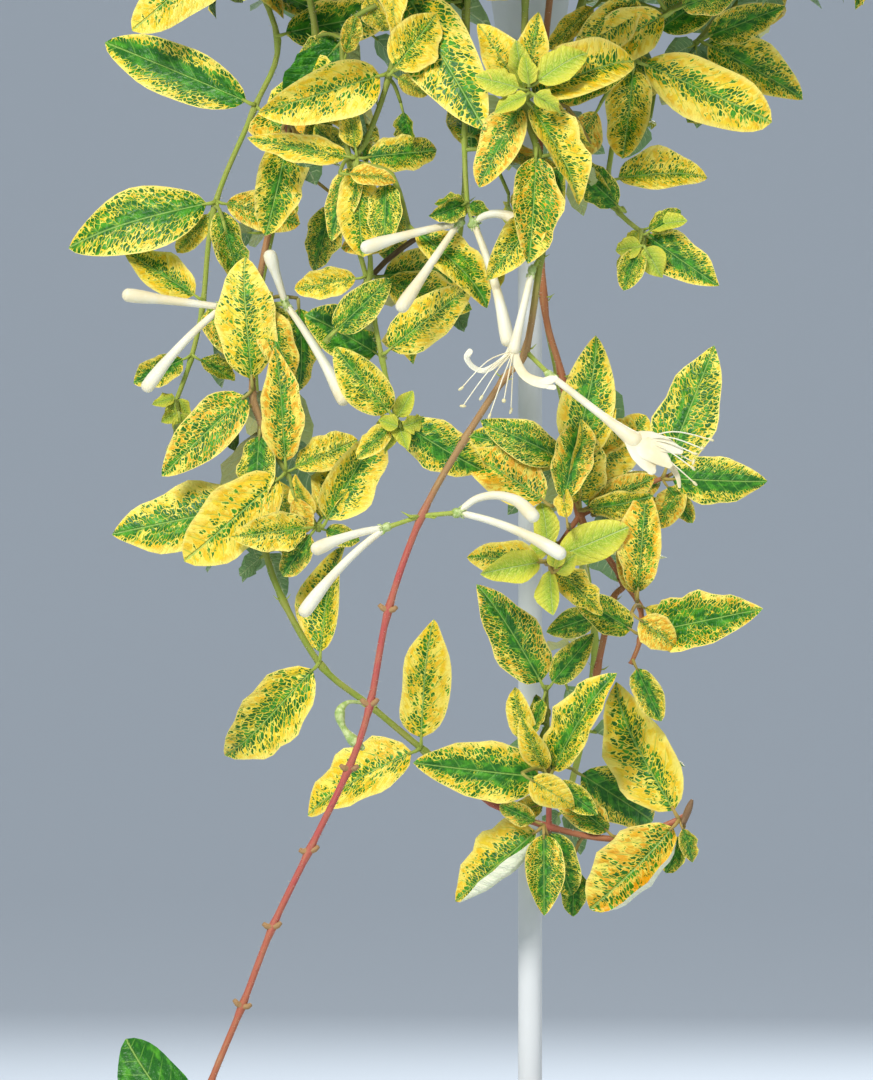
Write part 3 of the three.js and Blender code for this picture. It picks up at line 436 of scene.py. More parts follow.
class Leaf:
    """A leaf from its base, its direction and the way that its upper side looks"""
    gold, breadth, forward, ahead = 0.5, 1, 0, 0
    shown = rolled = False

    def __init__(self, mass, base, along, face, length, width, droop):
        self.mass, self.base, self.along = mass, base, along
        self.normal = unit(face - along * np.dot(face, along))
        self.side = np.cross(self.normal, along)
        self.length, self.width, self.droop = length, width, droop
        rows = math.ceil(length / SAMPLE_STEP)
        spots = []
        for row in range(1, rows + 1):
            half = float(self.half_width(np.array([row / rows]))[0])
            spots += [(row / rows, part * half) for part in (SAMPLES_ACROSS if half > 0 else (0,))]
        self.shares = np.array([share for share, _ in spots])
        self.places = np.array([self.place(*spot) for spot in spots])
        self.middle = self.place(0.5, 0)

    def half_width(self, shares):
        blade = (shares * self.length - PETIOLE) / (self.length - PETIOLE)
        inside = np.clip(blade, 1e-9, 1 - 1e-9)
        half = self.width / 2 * np.sin(np.pi * inside ** 0.9) ** 0.75
        return np.where((blade <= 0) | (blade >= 1), 0, half)

    def place(self, share, across):
        return (self.base + self.along * share * self.length + self.side * across
                - self.normal * self.droop * self.length * share * share)

    def holds(self, places, clear):
        """Which places lie within the leaf's plate or too near to it"""
        offsets = places - self.base
        shares = offsets @ self.along / self.length
        heights = offsets @ self.normal + self.droop * self.length * shares ** 2
        near = (shares >= 0) & (shares <= 1 + clear / self.length) & (np.abs(heights) <= clear)
        return near & (np.abs(offsets @ self.side) < self.half_width(np.minimum(shares, 0.97)) + clear)

    def seen(self, places, least):
        """Which places the leaf overlaps in the front view beyond a share of its length, and its depth there"""
        determinant = self.along[0] * self.side[2] - self.along[2] * self.side[0]
        if abs(determinant) < EDGE_ON:
            return np.zeros((2, len(places)), bool)
        x, _, z = (places - self.base).T
        shares = (x * self.side[2] - z * self.side[0]) / determinant / self.length
        across = (self.along[0] * z - self.along[2] * x) / determinant
        within = (shares > least) & (shares < 1) & (np.abs(across) < self.half_width(shares))
        return within, self.base[1] + self.along[1] * shares * self.length + self.side[1] * across

    def covers(self, places):
        """Which places it hides from the front"""
        within, depth = self.seen(places, 0)
        return within & (depth < places[:, 1])

    def crossed(self):
        """Whether a stem of its own mass runs before the leaf in the front view"""
        near = ((limbs.masses == self.mass)
                & (np.linalg.norm(limbs.starts - self.middle, axis=1) < self.length * 0.7))
        points = limbs.starts[near] + limbs.spans[near] * 0.5
        within, depth = self.seen(points, CROSSED_FROM)
        return bool((within & (depth > points[:, 1] - 1)).any())


stems = []
leaves = []
shown = []
missed = []
leaf_middles = np.zeros((MOST_LEAVES, 3))
leaf_lengths = np.zeros(MOST_LEAVES)


def known_limbs():
    """The pieces of all stems side by side, so that a leaf is tested against the near ones"""
    spans = np.concatenate([stem.spans for stem in stems])
    return SimpleNamespace(
        starts=np.concatenate([stem.starts for stem in stems]), spans=spans, lengths=np.linalg.norm(spans, axis=1),
        radii=np.concatenate([np.full(len(stem.spans), stem.radius) for stem in stems]),
        masses=np.array([stem.mass for stem in stems for _ in stem.spans]))


def known_fronts():
    """The middles and lengths of the shown leaves side by side"""
    return SimpleNamespace(middles=np.array([leaf.middle for leaf in shown]),
                           lengths=np.array([leaf.length for leaf in shown]))


def touches(leaf, clear):
    """Whether a leaf would touch the pot, a limb or another leaf. Near its own node it may."""
    if any(math.hypot(place[0], place[1]) < furniture_radius(place[2]) + CLEAR for place in leaf.places):
        return True
    far = np.linalg.norm(limbs.starts - leaf.middle, axis=1)
    near = np.nonzero(far < leaf.length * LEAF_REACH + limbs.lengths + 5)[0]
    if len(near):
        offsets = leaf.places[:, None, :] - limbs.starts[near][None]
        spans = limbs.spans[near]
        shares = np.clip((offsets * spans).sum(axis=2) / (spans ** 2).sum(axis=1), 0, 1)
        apart = np.linalg.norm(offsets - shares[..., None] * spans, axis=2) - limbs.radii[near]
        exempt = (leaf.shares * leaf.length < OWN_NODE)[:, None] & (limbs.masses[near] == leaf.mass)[None]
        if apart[~exempt].size and apart[~exempt].min() < clear - LIMB_EASE:
            return True
    count = len(leaves)
    far = np.linalg.norm(leaf_middles[:count] - leaf.middle, axis=1)
    for i in np.nonzero(far <= (leaf_lengths[:count] + leaf.length) * LEAF_REACH)[0]:
        for first, second in ((leaf, leaves[i]), (leaves[i], leaf)):
            tested = first.places[first.shares >= JOINED_SHARE] if first.mass == second.mass else first.places
            if second.holds(tested, clear).any():
                return True
    return False


def hidden(leaf):
    """Whether the shown leaves hide this one from the front, below the top of the front view"""
    covered = leaf.places[:, 2] > FRAME_TOP
    if not covered.all():
        across, _, up = (fronts.middles - leaf.middle).T
        for i in np.nonzero(np.hypot(across, up) < (fronts.lengths + leaf.length) * FRONT_REACH)[0]:
            covered |= shown[i].covers(leaf.places)
    return np.mean(~covered) < SEEN_SHARE


def place_hidden(place):
    """Whether the shown leaves hide a place from the front, or it lies above the top of the front view"""
    return place[2] > FRAME_TOP + 2 or any(leaf.covers(place[None])[0] for leaf in shown)


def keep(leaf):
    leaf_middles[len(leaves)] = leaf.middle
    leaf_lengths[len(leaves)] = leaf.length
    leaves.append(leaf)
    return leaf


def show(leaf, **traits):
    """Counts a leaf among those that the front view shows"""
    vars(leaf).update(traits, shown=True)
    shown.append(leaf)


def settle(attitudes, clear=CLEAR):
    """The first of some attitudes in which the leaf is clear, or nothing"""
    return next((keep(leaf) for leaf in attitudes if not touches(leaf, clear)), None)


def shown_leaf(mass, base, random, degrees, length, gold, breadth=1, ahead=0):
    """A leaf that the front view shows: its heading is kept, and it leans until it is clear"""
    ratio = random(*LEAF_WIDTH)
    first = random(-14, 14)
    roll = math.radians(random(-14, 34)) * (1 if math.cos(math.radians(degrees)) < 0 else -1)
    droop = random(0.02, 0.1)

    def attitude(lean):
        along = heading(degrees, lean)
        full = length / math.cos(math.radians(lean))
        return Leaf(mass, base, along, turned_about(FRONT, along, roll), full, length * ratio, droop)

    leaf = settle(attitude(lean) for lean in (first, *LEANS))
    if leaf:
        show(leaf, gold=gold, breadth=breadth, ahead=ahead, forward=SET_FORWARD)
    else:
        missed.append((gold, [attitude(lean) for lean in (first, *LEANS)]))


def ruled_leaf(mass, base, stem_way, bearing, random, clear=CLEAR, least=32, most=46):
    """A leaf by the rule alone: it stands off its stem, turned round it, lifts and looks outwards"""
    length = random(least, most)
    ratio = random(*LEAF_WIDTH)
    angle = math.radians(random(46, 72))
    hanging = stem_way[2] < -0.5
    lift = random(0.7, 1.4) if hanging and base[2] > POT_TOP else random(-0.1, 0.25) * (1 if hanging else 2)
    droop = random(0.05, 0.14)
    outside = unit(vec(base[0], base[1], 0))
    start = outside if stem_way[2] ** 2 > 0.5 else UP
    start = unit(start - stem_way * np.dot(start, stem_way))

    def attitude(turn):
        across = turned_about(start, stem_way, math.radians(bearing + turn))
        along = unit(stem_way * math.cos(angle) + across * math.sin(angle) + UP * lift)
        return Leaf(mass, base, along, UP + outside * 0.8, length, length * ratio, droop)

    settle((leaf for leaf in map(attitude, TURNS) if hidden(leaf)), clear)


def just_above(points, i):
    """A place on a stem a little before one of its points, for the leaves of a node"""
    back = points[max(i - 1, 0)] - points[i]
    distance = np.linalg.norm(back)
    return points[i] + back * (NODE_STEP / distance) if distance else points[i].copy()


def way_at(points, i):
    return unit(points[min(i + 1, len(points) - 1)] - points[i - 1])


def ruled_pairs(shoot, start, seed):
    """Pairs turned a quarter from node to node"""
    random = Dice(seed)
    for i in range(start, len(shoot.points)):
        quarter = (i % 2) * 90 + random(-20, 20)
        for half in (0, 180):
            ruled_leaf(shoot.name, just_above(shoot.points, i), way_at(shoot.points, i), quarter + half, random)


def main_shoot(name, bearing, tier, depth_first, depth_last):
    """From its bough's tip it hangs clear of the pot to its first node"""
    bough = bough_curve(bearing, tier, BOUGH_STEPS)
    way = unit(bough[-1] - bough[-2])
    start = bough[-1] + way * STEM_GAP
    nodes = NODES[name]
    below = [vec(node[0], depth_first + (depth_last - depth_first) * i / (len(nodes) - 1), node[1])
             for i, node in enumerate(nodes)]
    above = [start + (below[0] - start) * share + around(bearing, 13 * math.sin(math.pi * share), 0)
             for share in (0.24, 0.48, 0.74)]
    points = [start, start + way * START_RUN, *above, *below]
    Stem(name, points, 2, TWIG_RADIUS, 1.3 if len(nodes) > 8 else 1)
    return Shoot(name, points, 5, nodes)


def side_shoot(name, node, deeper, nodes):
    start = node_of(name, node)
    points = [start, *(vec(place[0], start[1] + deeper * (i + 1) / len(nodes), place[1])
                       for i, place in enumerate(nodes))]
    Stem(name, points, 2, SIDE_TWIG_RADIUS, 0.9)
    return Shoot(name, points, 1, nodes)


def filling_shoots():
    """Where two masses stand far apart, a twig of the first hangs half way between them"""
    for mass, following in zip(MASSES, MASSES[1:] + MASSES[:1]):
        gap = (following[1] - mass[1]) % 360
        if gap >= WIDE_GAP:
            start = shoots[mass[0]].points[2]
            reach = math.hypot(start[0], start[1])
            points = [start, *(around(mass[1] + turn * gap / 2, reach + out, start[2] + drop)
                               for turn, out, drop in FILLER_RUN)]
            Stem(mass[0], points, 1, SIDE_TWIG_RADIUS, 0.9)
            yield Shoot(mass[0], points, 6, [])


def crown_twigs():
    """Twigs that fan out of the trunk's head over the pot"""
    random = Dice(7)
    start = trunk_centre(TRUNK_HEIGHT) + vec(0, 0, SEAT_GAP)
    head = start + vec(0, 0, 9)
    Stem("crown", [start, head], 1, 2.4, 2)
    for twig in range(CROWN_TWIGS):
        bearing = twig * 360 / CROWN_TWIGS + random(-8, 8)
        reach = random(46, 72)
        middle = head + around(bearing, reach * 0.5, random(4, 14))
        end = head + around(bearing, reach, random(-4, 12))
        yield Shoot("crown", Stem("crown", [head, middle, end], 2, SIDE_TWIG_RADIUS, 0.9).curve, 2, [])


def node_of(name, node):
    return shoots[name].points[shoots[name].first + node]


def flower_tube(kind, name, node, end, degrees, length, bend=0):
    """A flower's tube, bending along its length, as it is drawn. The one that leaves keep clear of is plainer."""
    base = vec(end[0], node_of(name, node)[1] - 2, end[1])

    def curve(length, bend):
        points = [base.copy()]
        for step in range(4):
            points.append(points[-1] + heading(degrees + bend * step / 3, -14) * length / 4)
        return points

    radius = TUBE_CLEARANCE[kind]
    Stem(name, curve(length, bend), 0, radius, radius, "tube")
    grown = LONG_TUBE_GROWTH if (name, degrees) == LONG_TUBE else 1
    tubes.append((kind, curve(length * grown, bend * 1.4 if bend < -40 else bend)))


def stalk(name, node, end):
    start = node_of(name, node)
    Stem(name, [start, vec(end[0], start[1] - 2, end[1])], 1, 0.9, 0.9, "stalk")


for mass in MASSES:
    Stem(f"bough_{mass[0]}", bough_curve(*mass[1:3], BOUGH_STEPS), 0, BOUGH_RADIUS, BOUGH_TIP_RADIUS, "bough")
shoots = {mass[0]: main_shoot(*mass) for mass in MASSES}
side_shoots = [side_shoot(*row) for row in SIDE_SHOOTS]
fillers = list(filling_shoots())
tubes = []
for *place, pair in BLOOMS:
    stalk(*place)
    for tube in pair:
        flower_tube("bud", *place, *tube)
for *place, degrees, length in OPEN_FLOWERS:
    stalk(*place)
    flower_tube("open", *place, degrees, length)
crown = list(crown_twigs())

limbs = known_limbs()
for shoot in (*shoots.values(), *side_shoots):
    leaf_random = Dice(len(shoot.name) * 31 + len(shoot.nodes))
    for i, node in enumerate(shoot.nodes, shoot.first):
        for leaf in node[2:]:
            shown_leaf(shoot.name, just_above(shoot.points, i), leaf_random, *leaf)
fronts = known_fronts()
for seed, family, first in ((100, shoots.values(), 1), (200, side_shoots, 1), (400, fillers, 1), (300, crown, 2)):
    for i, shoot in enumerate(family):
        ruled_pairs(shoot, first, seed + i)
gold_random = Dice(11)
for leaf in leaves[len(shown):]:
    leaf.gold = gold_random(0.02, 0.95)

# From here the leaves are finer than those of the solids. They may stand closer to each other, and a
# leaf that its own stem would cross leans before it.
for leaf in shown:
    if leaf.along[1] > 0 and (leaf.ahead or leaf.crossed()):
        leaf.__init__(leaf.mass, leaf.base, leaf.along * MIRROR, leaf.normal * -MIRROR, leaf.length, leaf.width,
                      leaf.droop)
        leaf.forward = MIRRORED_FORWARD
    leaf.forward += leaf.ahead
    leaf.rolled = leaf.mass == "left_front" and leaf.base[2] < 175 and leaf.length > 37 and leaf.along[2] < -0.5
for gold, attitudes in missed:
    leaf = settle(attitudes, FINE_CLEAR)
    if leaf:
        show(leaf, gold=gold, forward=LATE_FORWARD)

fill_random = Dice(57)
for name, x, depth, z, degrees, length, gold, breadth in FILL:
    base = vec(x, depth, z)
    closest = min((stem.curve for stem in stems if stem.mass == name and stem.kind == "shoot"),
                  key=lambda curve: min(np.linalg.norm(p - base) for p in curve))
    start = min(closest, key=lambda p: np.linalg.norm(p - base) + max(base[2] - p[2], 0))
    if np.linalg.norm(start - base) > 2:
        Stem(name, [start, (start + base) / 2 + vec(0, 0, 1.5), base], 3, 0.75, 0.6, "twig")
    along = heading(degrees, fill_random(-8, 14))
    face = turned_about(FRONT, along, math.radians(fill_random(-25, 25)))
    leaf = Leaf(name, base, along, face, length, length * FILL_LEAF_WIDTH * breadth, fill_random(0.02, 0.12))
    show(keep(leaf), gold=gold)

for name, kind, radius, end_radius, points in STUBS:
    Stem(name, [vec(*point) for point in points], 3, radius, end_radius, kind)
bract_random = Dice(33)
for name, shoot in shoots.items():
    for i in range(1, len(shoot.points)):
        if i >= shoot.first and shoot.nodes[i - shoot.first][2:]:
            continue
        for turn in (0, 180):
            way = heading(turn + bract_random(-10, 30) * (1 if turn == 0 else -1), bract_random(-40, 0))
            below = i - shoot.first - LAST_BLOOM if name == "long_shoot" else -1
            size = 6.5 if below == 0 else 2.5 if below > 0 else bract_random(2.4, 3.6)
            foot = shoot.points[i] + way * 0.8
            Stem(name, [foot, foot + way * size * 0.5, foot + (way + UP * 0.3) * size], 0, size * 0.2, 0.1,
                 "collar" if below > 0 else "bract")
limbs = known_limbs()
fronts = known_fronts()


def fine_twigs(shoot, seed, most_drop):
    """Side twigs in the axils of a shoot, each with its own pairs of smaller leaves"""
    random = Dice(seed)
    for i, point in enumerate(shoot.points[1:], 1):
        way = way_at(shoot.points, i)
        outside = unit(vec(point[0], point[1], 0) + vec(0, 0, 0.01))
        for turn in (random(-70, 10), random(20, 110)):
            level = turned_about(outside, UP, math.radians(turn))
            across = unit(level - way * np.dot(level, way))
            reach = random(13, 24)
            start = point + way * random(-6, 6)
            middle = start + (across * 0.8 + way * 0.3 + UP * 0.2) * reach * 0.5
            end = start + (across * 0.75 + way * 0.5) * reach - UP * random(0, most_drop)
            if any(math.hypot(p[0], p[1]) < furniture_radius(p[2]) + 3 for p in (middle, end)):
                continue
            if not all(map(place_hidden, (start * 0.5 + middle * 0.5, middle, middle * 0.5 + end * 0.5, end))):
                continue
            before = len(leaves)
            quarter = random(0, 90)
            for place, turn, sizes in ((middle, 0, (17, 30)), (end, 90, (15, 27))):
                for half in (0, 180):
                    ruled_leaf(shoot.name, place, unit(end - middle), quarter + turn + half, random,
                               FINE_CLEAR, *sizes)
            if len(leaves) == before:
                continue
            Stem(shoot.name, [start, middle, end], 3, 0.8, 0.6, "twig")
            ripe = random(0, 1)
            for leaf in leaves[before:]:
                leaf.gold = LIME if ripe > 0.85 else random(0.05, 0.95)


tip_random = Dice(44)
for name in LIME_TIPS:
    points = shoots[name].points
    way = unit(points[-1] - points[-2])
    for turn in (40, -40, 130, -130):
        along = unit(turned_about(unit(np.cross(way, vec(0, 1, 0))), way, math.radians(turn)) + way * 0.9)
        tip = keep(Leaf(name, points[-1], along, vec(0, 1, 0.5), tip_random(11, 17), 7, 0.1))
        tip.gold = tip_random(0.1, 0.7) if abs(turn) == 40 else LIME
for seed, family, most_drop in ((500, shoots.values(), 6), (600, fillers, 6), (700, crown, 0)):
    for i, shoot in enumerate(family):
        fine_twigs(shoot, seed + i, most_drop)


# Materials

def math_node(operation, flipped=False, more=()):
    """A method of a value that adds one Math node"""
    def method(self, *others):
        values = (*others, self) if flipped else (self, *others)
        return self.paint.node("ShaderNodeMath", dict(enumerate((*values, *more))), operation=operation)
    return method


class Value:
    """A number in a material. Python's operators on it add Math nodes."""
    __add__, __radd__ = math_node("ADD"), math_node("ADD", flipped=True)
    __sub__, __rsub__ = math_node("SUBTRACT"), math_node("SUBTRACT", flipped=True)
    __mul__, __rmul__ = math_node("MULTIPLY"), math_node("MULTIPLY", flipped=True)
    __truediv__, __pow__, __abs__ = math_node("DIVIDE"), math_node("POWER"), math_node("ABSOLUTE")
    floor, fraction = math_node("FLOOR"), math_node("FRACT")
    least, most, equals = math_node("MAXIMUM"), math_node("MINIMUM"), math_node("COMPARE", more=(0.5,))

    def __init__(self, paint, socket):
        self.paint, self.socket = paint, socket

    def rise(self, low, high):
        """0 below low, 1 above high, and smooth between them"""
        return self.paint.node("ShaderNodeMapRange", {"Value": self, "From Min": low, "From Max": high},
                               interpolation_type="SMOOTHSTEP")


class Paint:
    """A material round one principled shader"""

    def __init__(self, name, **settings):
        self.material = bpy.data.materials.new(name)
        self.material.use_nodes = True
        self.tree = self.material.node_tree
        self.shader = self.tree.nodes["Principled BSDF"]
        self.set(**settings)

    def set(self, **settings):
        for key, value in settings.items():
            self.feed(self.shader.inputs[key.replace("_", " ").title().replace("Ior", "IOR")], value)

    def feed(self, socket, value):
        if isinstance(value, Value):
            self.tree.links.new(value.socket, socket)
        else:
            socket.default_value = (*value, 1) if socket.type == "RGBA" else value

    def node(self, kind, inputs=None, output=0, **settings):
        """A node of a kind, with its settings made first and then its sockets"""
        node = self.tree.nodes.new(kind)
        for key, value in settings.items():
            setattr(node, key, value)
        for key, value in (inputs or {}).items():
            self.feed(node.inputs[key], value)
        return Value(self, node.outputs[output])

    def blend(self, factor, first, second):
        """From the first colour to the second"""
        return self.node("ShaderNodeMix", {0: factor, 6: first, 7: second}, 2, data_type="RGBA")

    def noise(self, place, scale, detail=2, roughness=0.5):
        return self.node("ShaderNodeTexNoise", {
            "Vector": place, "Scale": scale, "Detail": detail, "Roughness": roughness})

    def cells(self, place, scale, feature="F1", output=0):
        return self.node("ShaderNodeTexVoronoi", {"Vector": place, "Scale": scale}, output, feature=feature)

    def place(self):
        return self.node("ShaderNodeTexCoord", output="Object")

    def joined(self, x, y, z):
        return self.node("ShaderNodeCombineXYZ", {0: x, 1: y, 2: z})

    def parts(self, vector):
        split = self.node("ShaderNodeSeparateXYZ", {0: vector}).socket.node
        return [Value(self, output) for output in split.outputs]

    def finish(self, colour, relief=None, strength=0, distance=0, **settings):
        """Gives the material its colour, its relief and what else is set"""
        self.set(base_color=colour, **settings)
        if relief:
            self.set(normal=self.node("ShaderNodeBump", {
                "Height": relief, "Strength": strength, "Distance": distance}))
        return self.material


# The leaves share one sheet of tiles: a row for each amount of gold, one for young leaves and one
# for undersides, and in each row some leaves with their own net.
TILE_COLUMNS = 8
TILE_ROWS = 10
YOUNG_ROW = 8
UNDER_ROW = 9
ROLLED_COLUMN = 7
GUTTER = 0.03
INSIDE = 1 - 2 * GUTTER


def leaf_material():
    paint = Paint("netted leaf")
    across, up, _ = paint.parts(paint.node("ShaderNodeUVMap", uv_map="OFBake"))
    column = (across * TILE_COLUMNS).floor()
    row = (up * TILE_ROWS).floor()
    along = ((across * TILE_COLUMNS - column - GUTTER) / INSIDE).least(0.001).most(0.999)
    side = ((up * TILE_ROWS - row - GUTTER) / INSIDE) * 2 - 1
    edge = abs(side)
    wide = along ** 0.55 * (1 - along) ** 0.8 * 0.65
    from_rib = edge * wide
    signed = side * wide
    seed = column * 7.3 + row * 3.1
    lateral = along - from_rib * 0.7 - from_rib * from_rib * 1.5
    warp = paint.noise(paint.joined(along * 30, signed * 30, seed + 60), 1, 1) - 0.5
    net = paint.joined((along - from_rib * 0.45 + warp * 0.04) * 37, (signed + warp * 0.03) * 21 + 30, seed)
    cell = paint.parts(paint.cells(net, 1, "F1", "Color"))[0]
    middle = paint.cells(net, 1, "DISTANCE_TO_EDGE")
    dashes = paint.noise(paint.joined(lateral * 62, signed * 34, seed), 1, 2, 0.6)
    patches = paint.noise(paint.joined(along * 5, signed * 11, seed + 20), 1, 2)
    tones = paint.noise(paint.joined(along * 9, signed * 18, seed + 40), 1, 2)
    ribs = abs((lateral * 7 + 0.15).fraction() - 0.5)
    rib_line = (1 - ribs.rise(0.015, 0.07)) * (1 - edge.rise(0.55, 0.95))
    midrib = 1 - from_rib.rise(0.003, 0.011)

    # Where the leaf is gold, and the green specks that are left there
    painted = row.rise(0.3, 0.7)
    level = (row - 1) * 0.175 - 0.3 - (1 - painted) * 3
    zone = (column * 0.618 + row * 0.37).fraction() * 0.8 + 0.25
    gold = level + (patches - 0.5) * 1.8 + (edge.rise(0.1, 0.95) - 0.5) * zone + along.rise(0.65, 1) * 0.15
    gold = gold - ribs.rise(0.2, 0.5) * 0.1 - (1 - from_rib.rise(0, 0.05)) * 0.2
    thread = (gold * 0.13 + 0.015).least(0)
    meshes = 1 - (1 - (middle - thread).rise(0, 0.09)) * gold.rise(-0.55, -0.1)
    speck = (cell * 0.5 + dashes * 1.5 - 0.5 - gold).rise(-0.07, 0.07) * meshes
    yellow = (1 - speck).least(edge.rise(0.93, 0.975) * painted)

    green = paint.blend(tones.rise(0.4, 0.72), (0.012, 0.12, 0.004), (0.075, 0.33, 0.012))
    orange = (column * 0.37 + row * 0.13).fraction().rise(0.62, 0.68)
    lemon = paint.blend(orange, (0.86, 0.61, 0.02), (0.83, 0.44, 0.01))
    golden = paint.blend(tones.rise(0.35, 0.65), lemon, paint.blend(orange, (0.85, 0.5, 0.012), (0.8, 0.36, 0.008)))
    cream = paint.blend((patches * 0.6 + cell * 0.4).rise(0.38, 0.66), golden, (0.92, 0.73, 0.1))
    cream = paint.blend(edge.rise(0.75, 1) * 0.7, cream, (0.94, 0.8, 0.2))
    leaf = paint.blend(yellow.rise(0, 0.6), green, (0.28, 0.43, 0.015))
    leaf = paint.blend(yellow.rise(0.4, 1), leaf, cream)
    leaf = paint.blend(rib_line * 0.5, leaf, (0.19, 0.42, 0.05))
    leaf = paint.blend(midrib * 0.7, leaf, (0.32, 0.52, 0.1))

    young = paint.blend(edge.rise(0.1, 0.95), (0.3, 0.46, 0.02), (0.7, 0.66, 0.05))
    young = paint.blend(dashes.rise(0.45, 0.65) * 0.6, young, (0.76, 0.71, 0.14))
    young = paint.blend(midrib.least(rib_line * 0.3), young, (0.5, 0.64, 0.2))
    leaf = paint.blend(row.equals(YOUNG_ROW), leaf, young)

    under = paint.blend(column.rise(2.5, 5.5), (0.19, 0.33, 0.12), (0.68, 0.64, 0.22))
    under = paint.blend(speck * 0.5, under, (0.3, 0.42, 0.16))
    under = paint.blend(column.rise(6.4, 6.6) * 0.9, under, (0.83, 0.84, 0.62))
    under = paint.blend(midrib.least(rib_line * 0.8), under, (0.55, 0.66, 0.32))
    leaf = paint.blend(row.equals(UNDER_ROW), leaf, under)
    quilt = ribs.rise(0, 0.35)
    return paint.finish(leaf, quilt * 0.3 + middle * 0.6 - midrib * 0.8 + dashes * 0.3, 0.7, 0.0009,
                        roughness=0.3 + dashes * 0.2, specular_ior_level=0.34, subsurface_weight=0.06,
                        subsurface_radius=(0.002, 0.003, 0.001))


def stem_material():
    paint = Paint("shoot skin", roughness=0.6)
    tone = paint.node("ShaderNodeAttribute", output="Color", attribute_name="tone")
    place = paint.node("ShaderNodeAttribute", output="Vector", attribute_name="skin")
    x, y, z = paint.parts(place)
    long_marks = paint.noise(paint.joined(x * 1.1, y * 1.1, z * 0.12), 1, 3, 0.6)
    freckles = paint.noise(place, 1.6, 2)
    bands = paint.noise(paint.joined(0, 0, z * 0.09), 1, 2)
    skin = paint.blend(bands.rise(0.35, 0.65) * 0.2, tone, (0.42, 0.27, 0.08))
    skin = paint.blend(long_marks.rise(0.45, 0.7) * 0.15, skin, (0.6, 0.5, 0.22))
    skin = paint.blend(freckles.rise(0.58, 0.7) * 0.3, skin, (0.12, 0.07, 0.03))
    return paint.finish(skin, long_marks + freckles * 0.4, 0.5, 0.0003, sheen_weight=0.05, specular_ior_level=0.3)


def hair_material():
    paint = Paint("pale hairs", roughness=0.7)
    return paint.finish(paint.blend(paint.noise(paint.place(), 300, 1), (0.78, 0.76, 0.6), (0.7, 0.6, 0.45)))


def bark_material():
    paint = Paint("peeling bark", roughness=0.85)
    place = paint.place()
    x, y, z = paint.parts(place)
    strips = paint.noise(paint.joined(x * 500, y * 500, z * 120), 1, 4, 0.65)
    flakes = paint.noise(place, 260, 3, 0.6)
    bark = paint.blend(strips.rise(0.35, 0.65), (0.16, 0.085, 0.045), (0.42, 0.28, 0.17))
    bark = paint.blend(flakes.rise(0.55, 0.7), bark, (0.52, 0.42, 0.3))
    return paint.finish(bark, strips + flakes * 0.5, 0.8, 0.0009)


def petal_material():
    paint = Paint("cream petal", roughness=0.5)
    place = paint.place()
    streaks = paint.noise(place, 500, 2)
    petal = paint.blend(paint.noise(place, 90, 1).rise(0.35, 0.7), (0.82, 0.78, 0.6), (0.8, 0.69, 0.42))
    petal = paint.blend(streaks.rise(0.5, 0.75) * 0.3, petal, (0.86, 0.83, 0.7))
    return paint.finish(petal, streaks, 0.2, 0.0002, subsurface_weight=0.15,
                        subsurface_radius=(0.003, 0.0025, 0.0015))


def anther_material():
    paint = Paint("anther", roughness=0.7)
    grains = paint.noise(paint.place(), 3000, 1)
    return paint.finish(paint.blend(grains.rise(0.4, 0.6), (0.72, 0.6, 0.28), (0.8, 0.74, 0.45)))


def calyx_material():
    paint = Paint("calyx and pod", roughness=0.45)
    marks = paint.noise(paint.place(), 700, 2)
    return paint.finish(paint.blend(marks.rise(0.35, 0.7), (0.3, 0.42, 0.1), (0.55, 0.62, 0.26)), marks, 0.3, 0.0003)


def pot_material():
    paint = Paint("moulded pot plastic")
    place = paint.place()
    dust = paint.noise(place, 35, 3, 0.6)
    low = 1 - paint.parts(place)[2].rise(POT_FOOT * MM, (POT_FOOT + 30) * MM)
    pot = paint.blend(dust.rise(0.45, 0.75) * 0.35 + low * 0.15, (0.016, 0.026, 0.021), (0.11, 0.105, 0.085))
    return paint.finish(pot, paint.noise(place, 1800, 2), 0.25, 0.0003, roughness=0.42 + dust.rise(0.4, 0.7) * 0.25)


def compost_material():
    paint = Paint("damp compost", roughness=0.95)
    place = paint.place()
    crumbs = paint.noise(place, 420, 4, 0.7)
    chips = paint.cells(place, 260)
    earth = paint.blend(crumbs.rise(0.35, 0.65), (0.03, 0.017, 0.009), (0.12, 0.07, 0.04))
    earth = paint.blend((1 - chips.rise(0.1, 0.35)) * 0.3, earth, (0.2, 0.13, 0.08))
    return paint.finish(earth, crumbs + chips * 0.4, 0.9, 0.002)


def stand_material():
    paint = Paint("powder coat")
    place = paint.place()
    wear = paint.noise(place, 14, 3, 0.6)
    coat = paint.blend(wear.rise(0.4, 0.75) * 0.5, (0.66, 0.665, 0.65), (0.56, 0.565, 0.55))
    return paint.finish(coat, paint.noise(place, 900, 2), 0.15, 0.0003, roughness=0.4 + wear * 0.15)


# Making meshes

FOLIAGE_NODES = [f"foliage_{mass[0]}" for mass in MASSES] + ["foliage_crown"]


def placed(name, data):
    """A new object in the scene"""
    item = bpy.data.objects.new(name, data)
    bpy.context.scene.collection.objects.link(item)
    return item


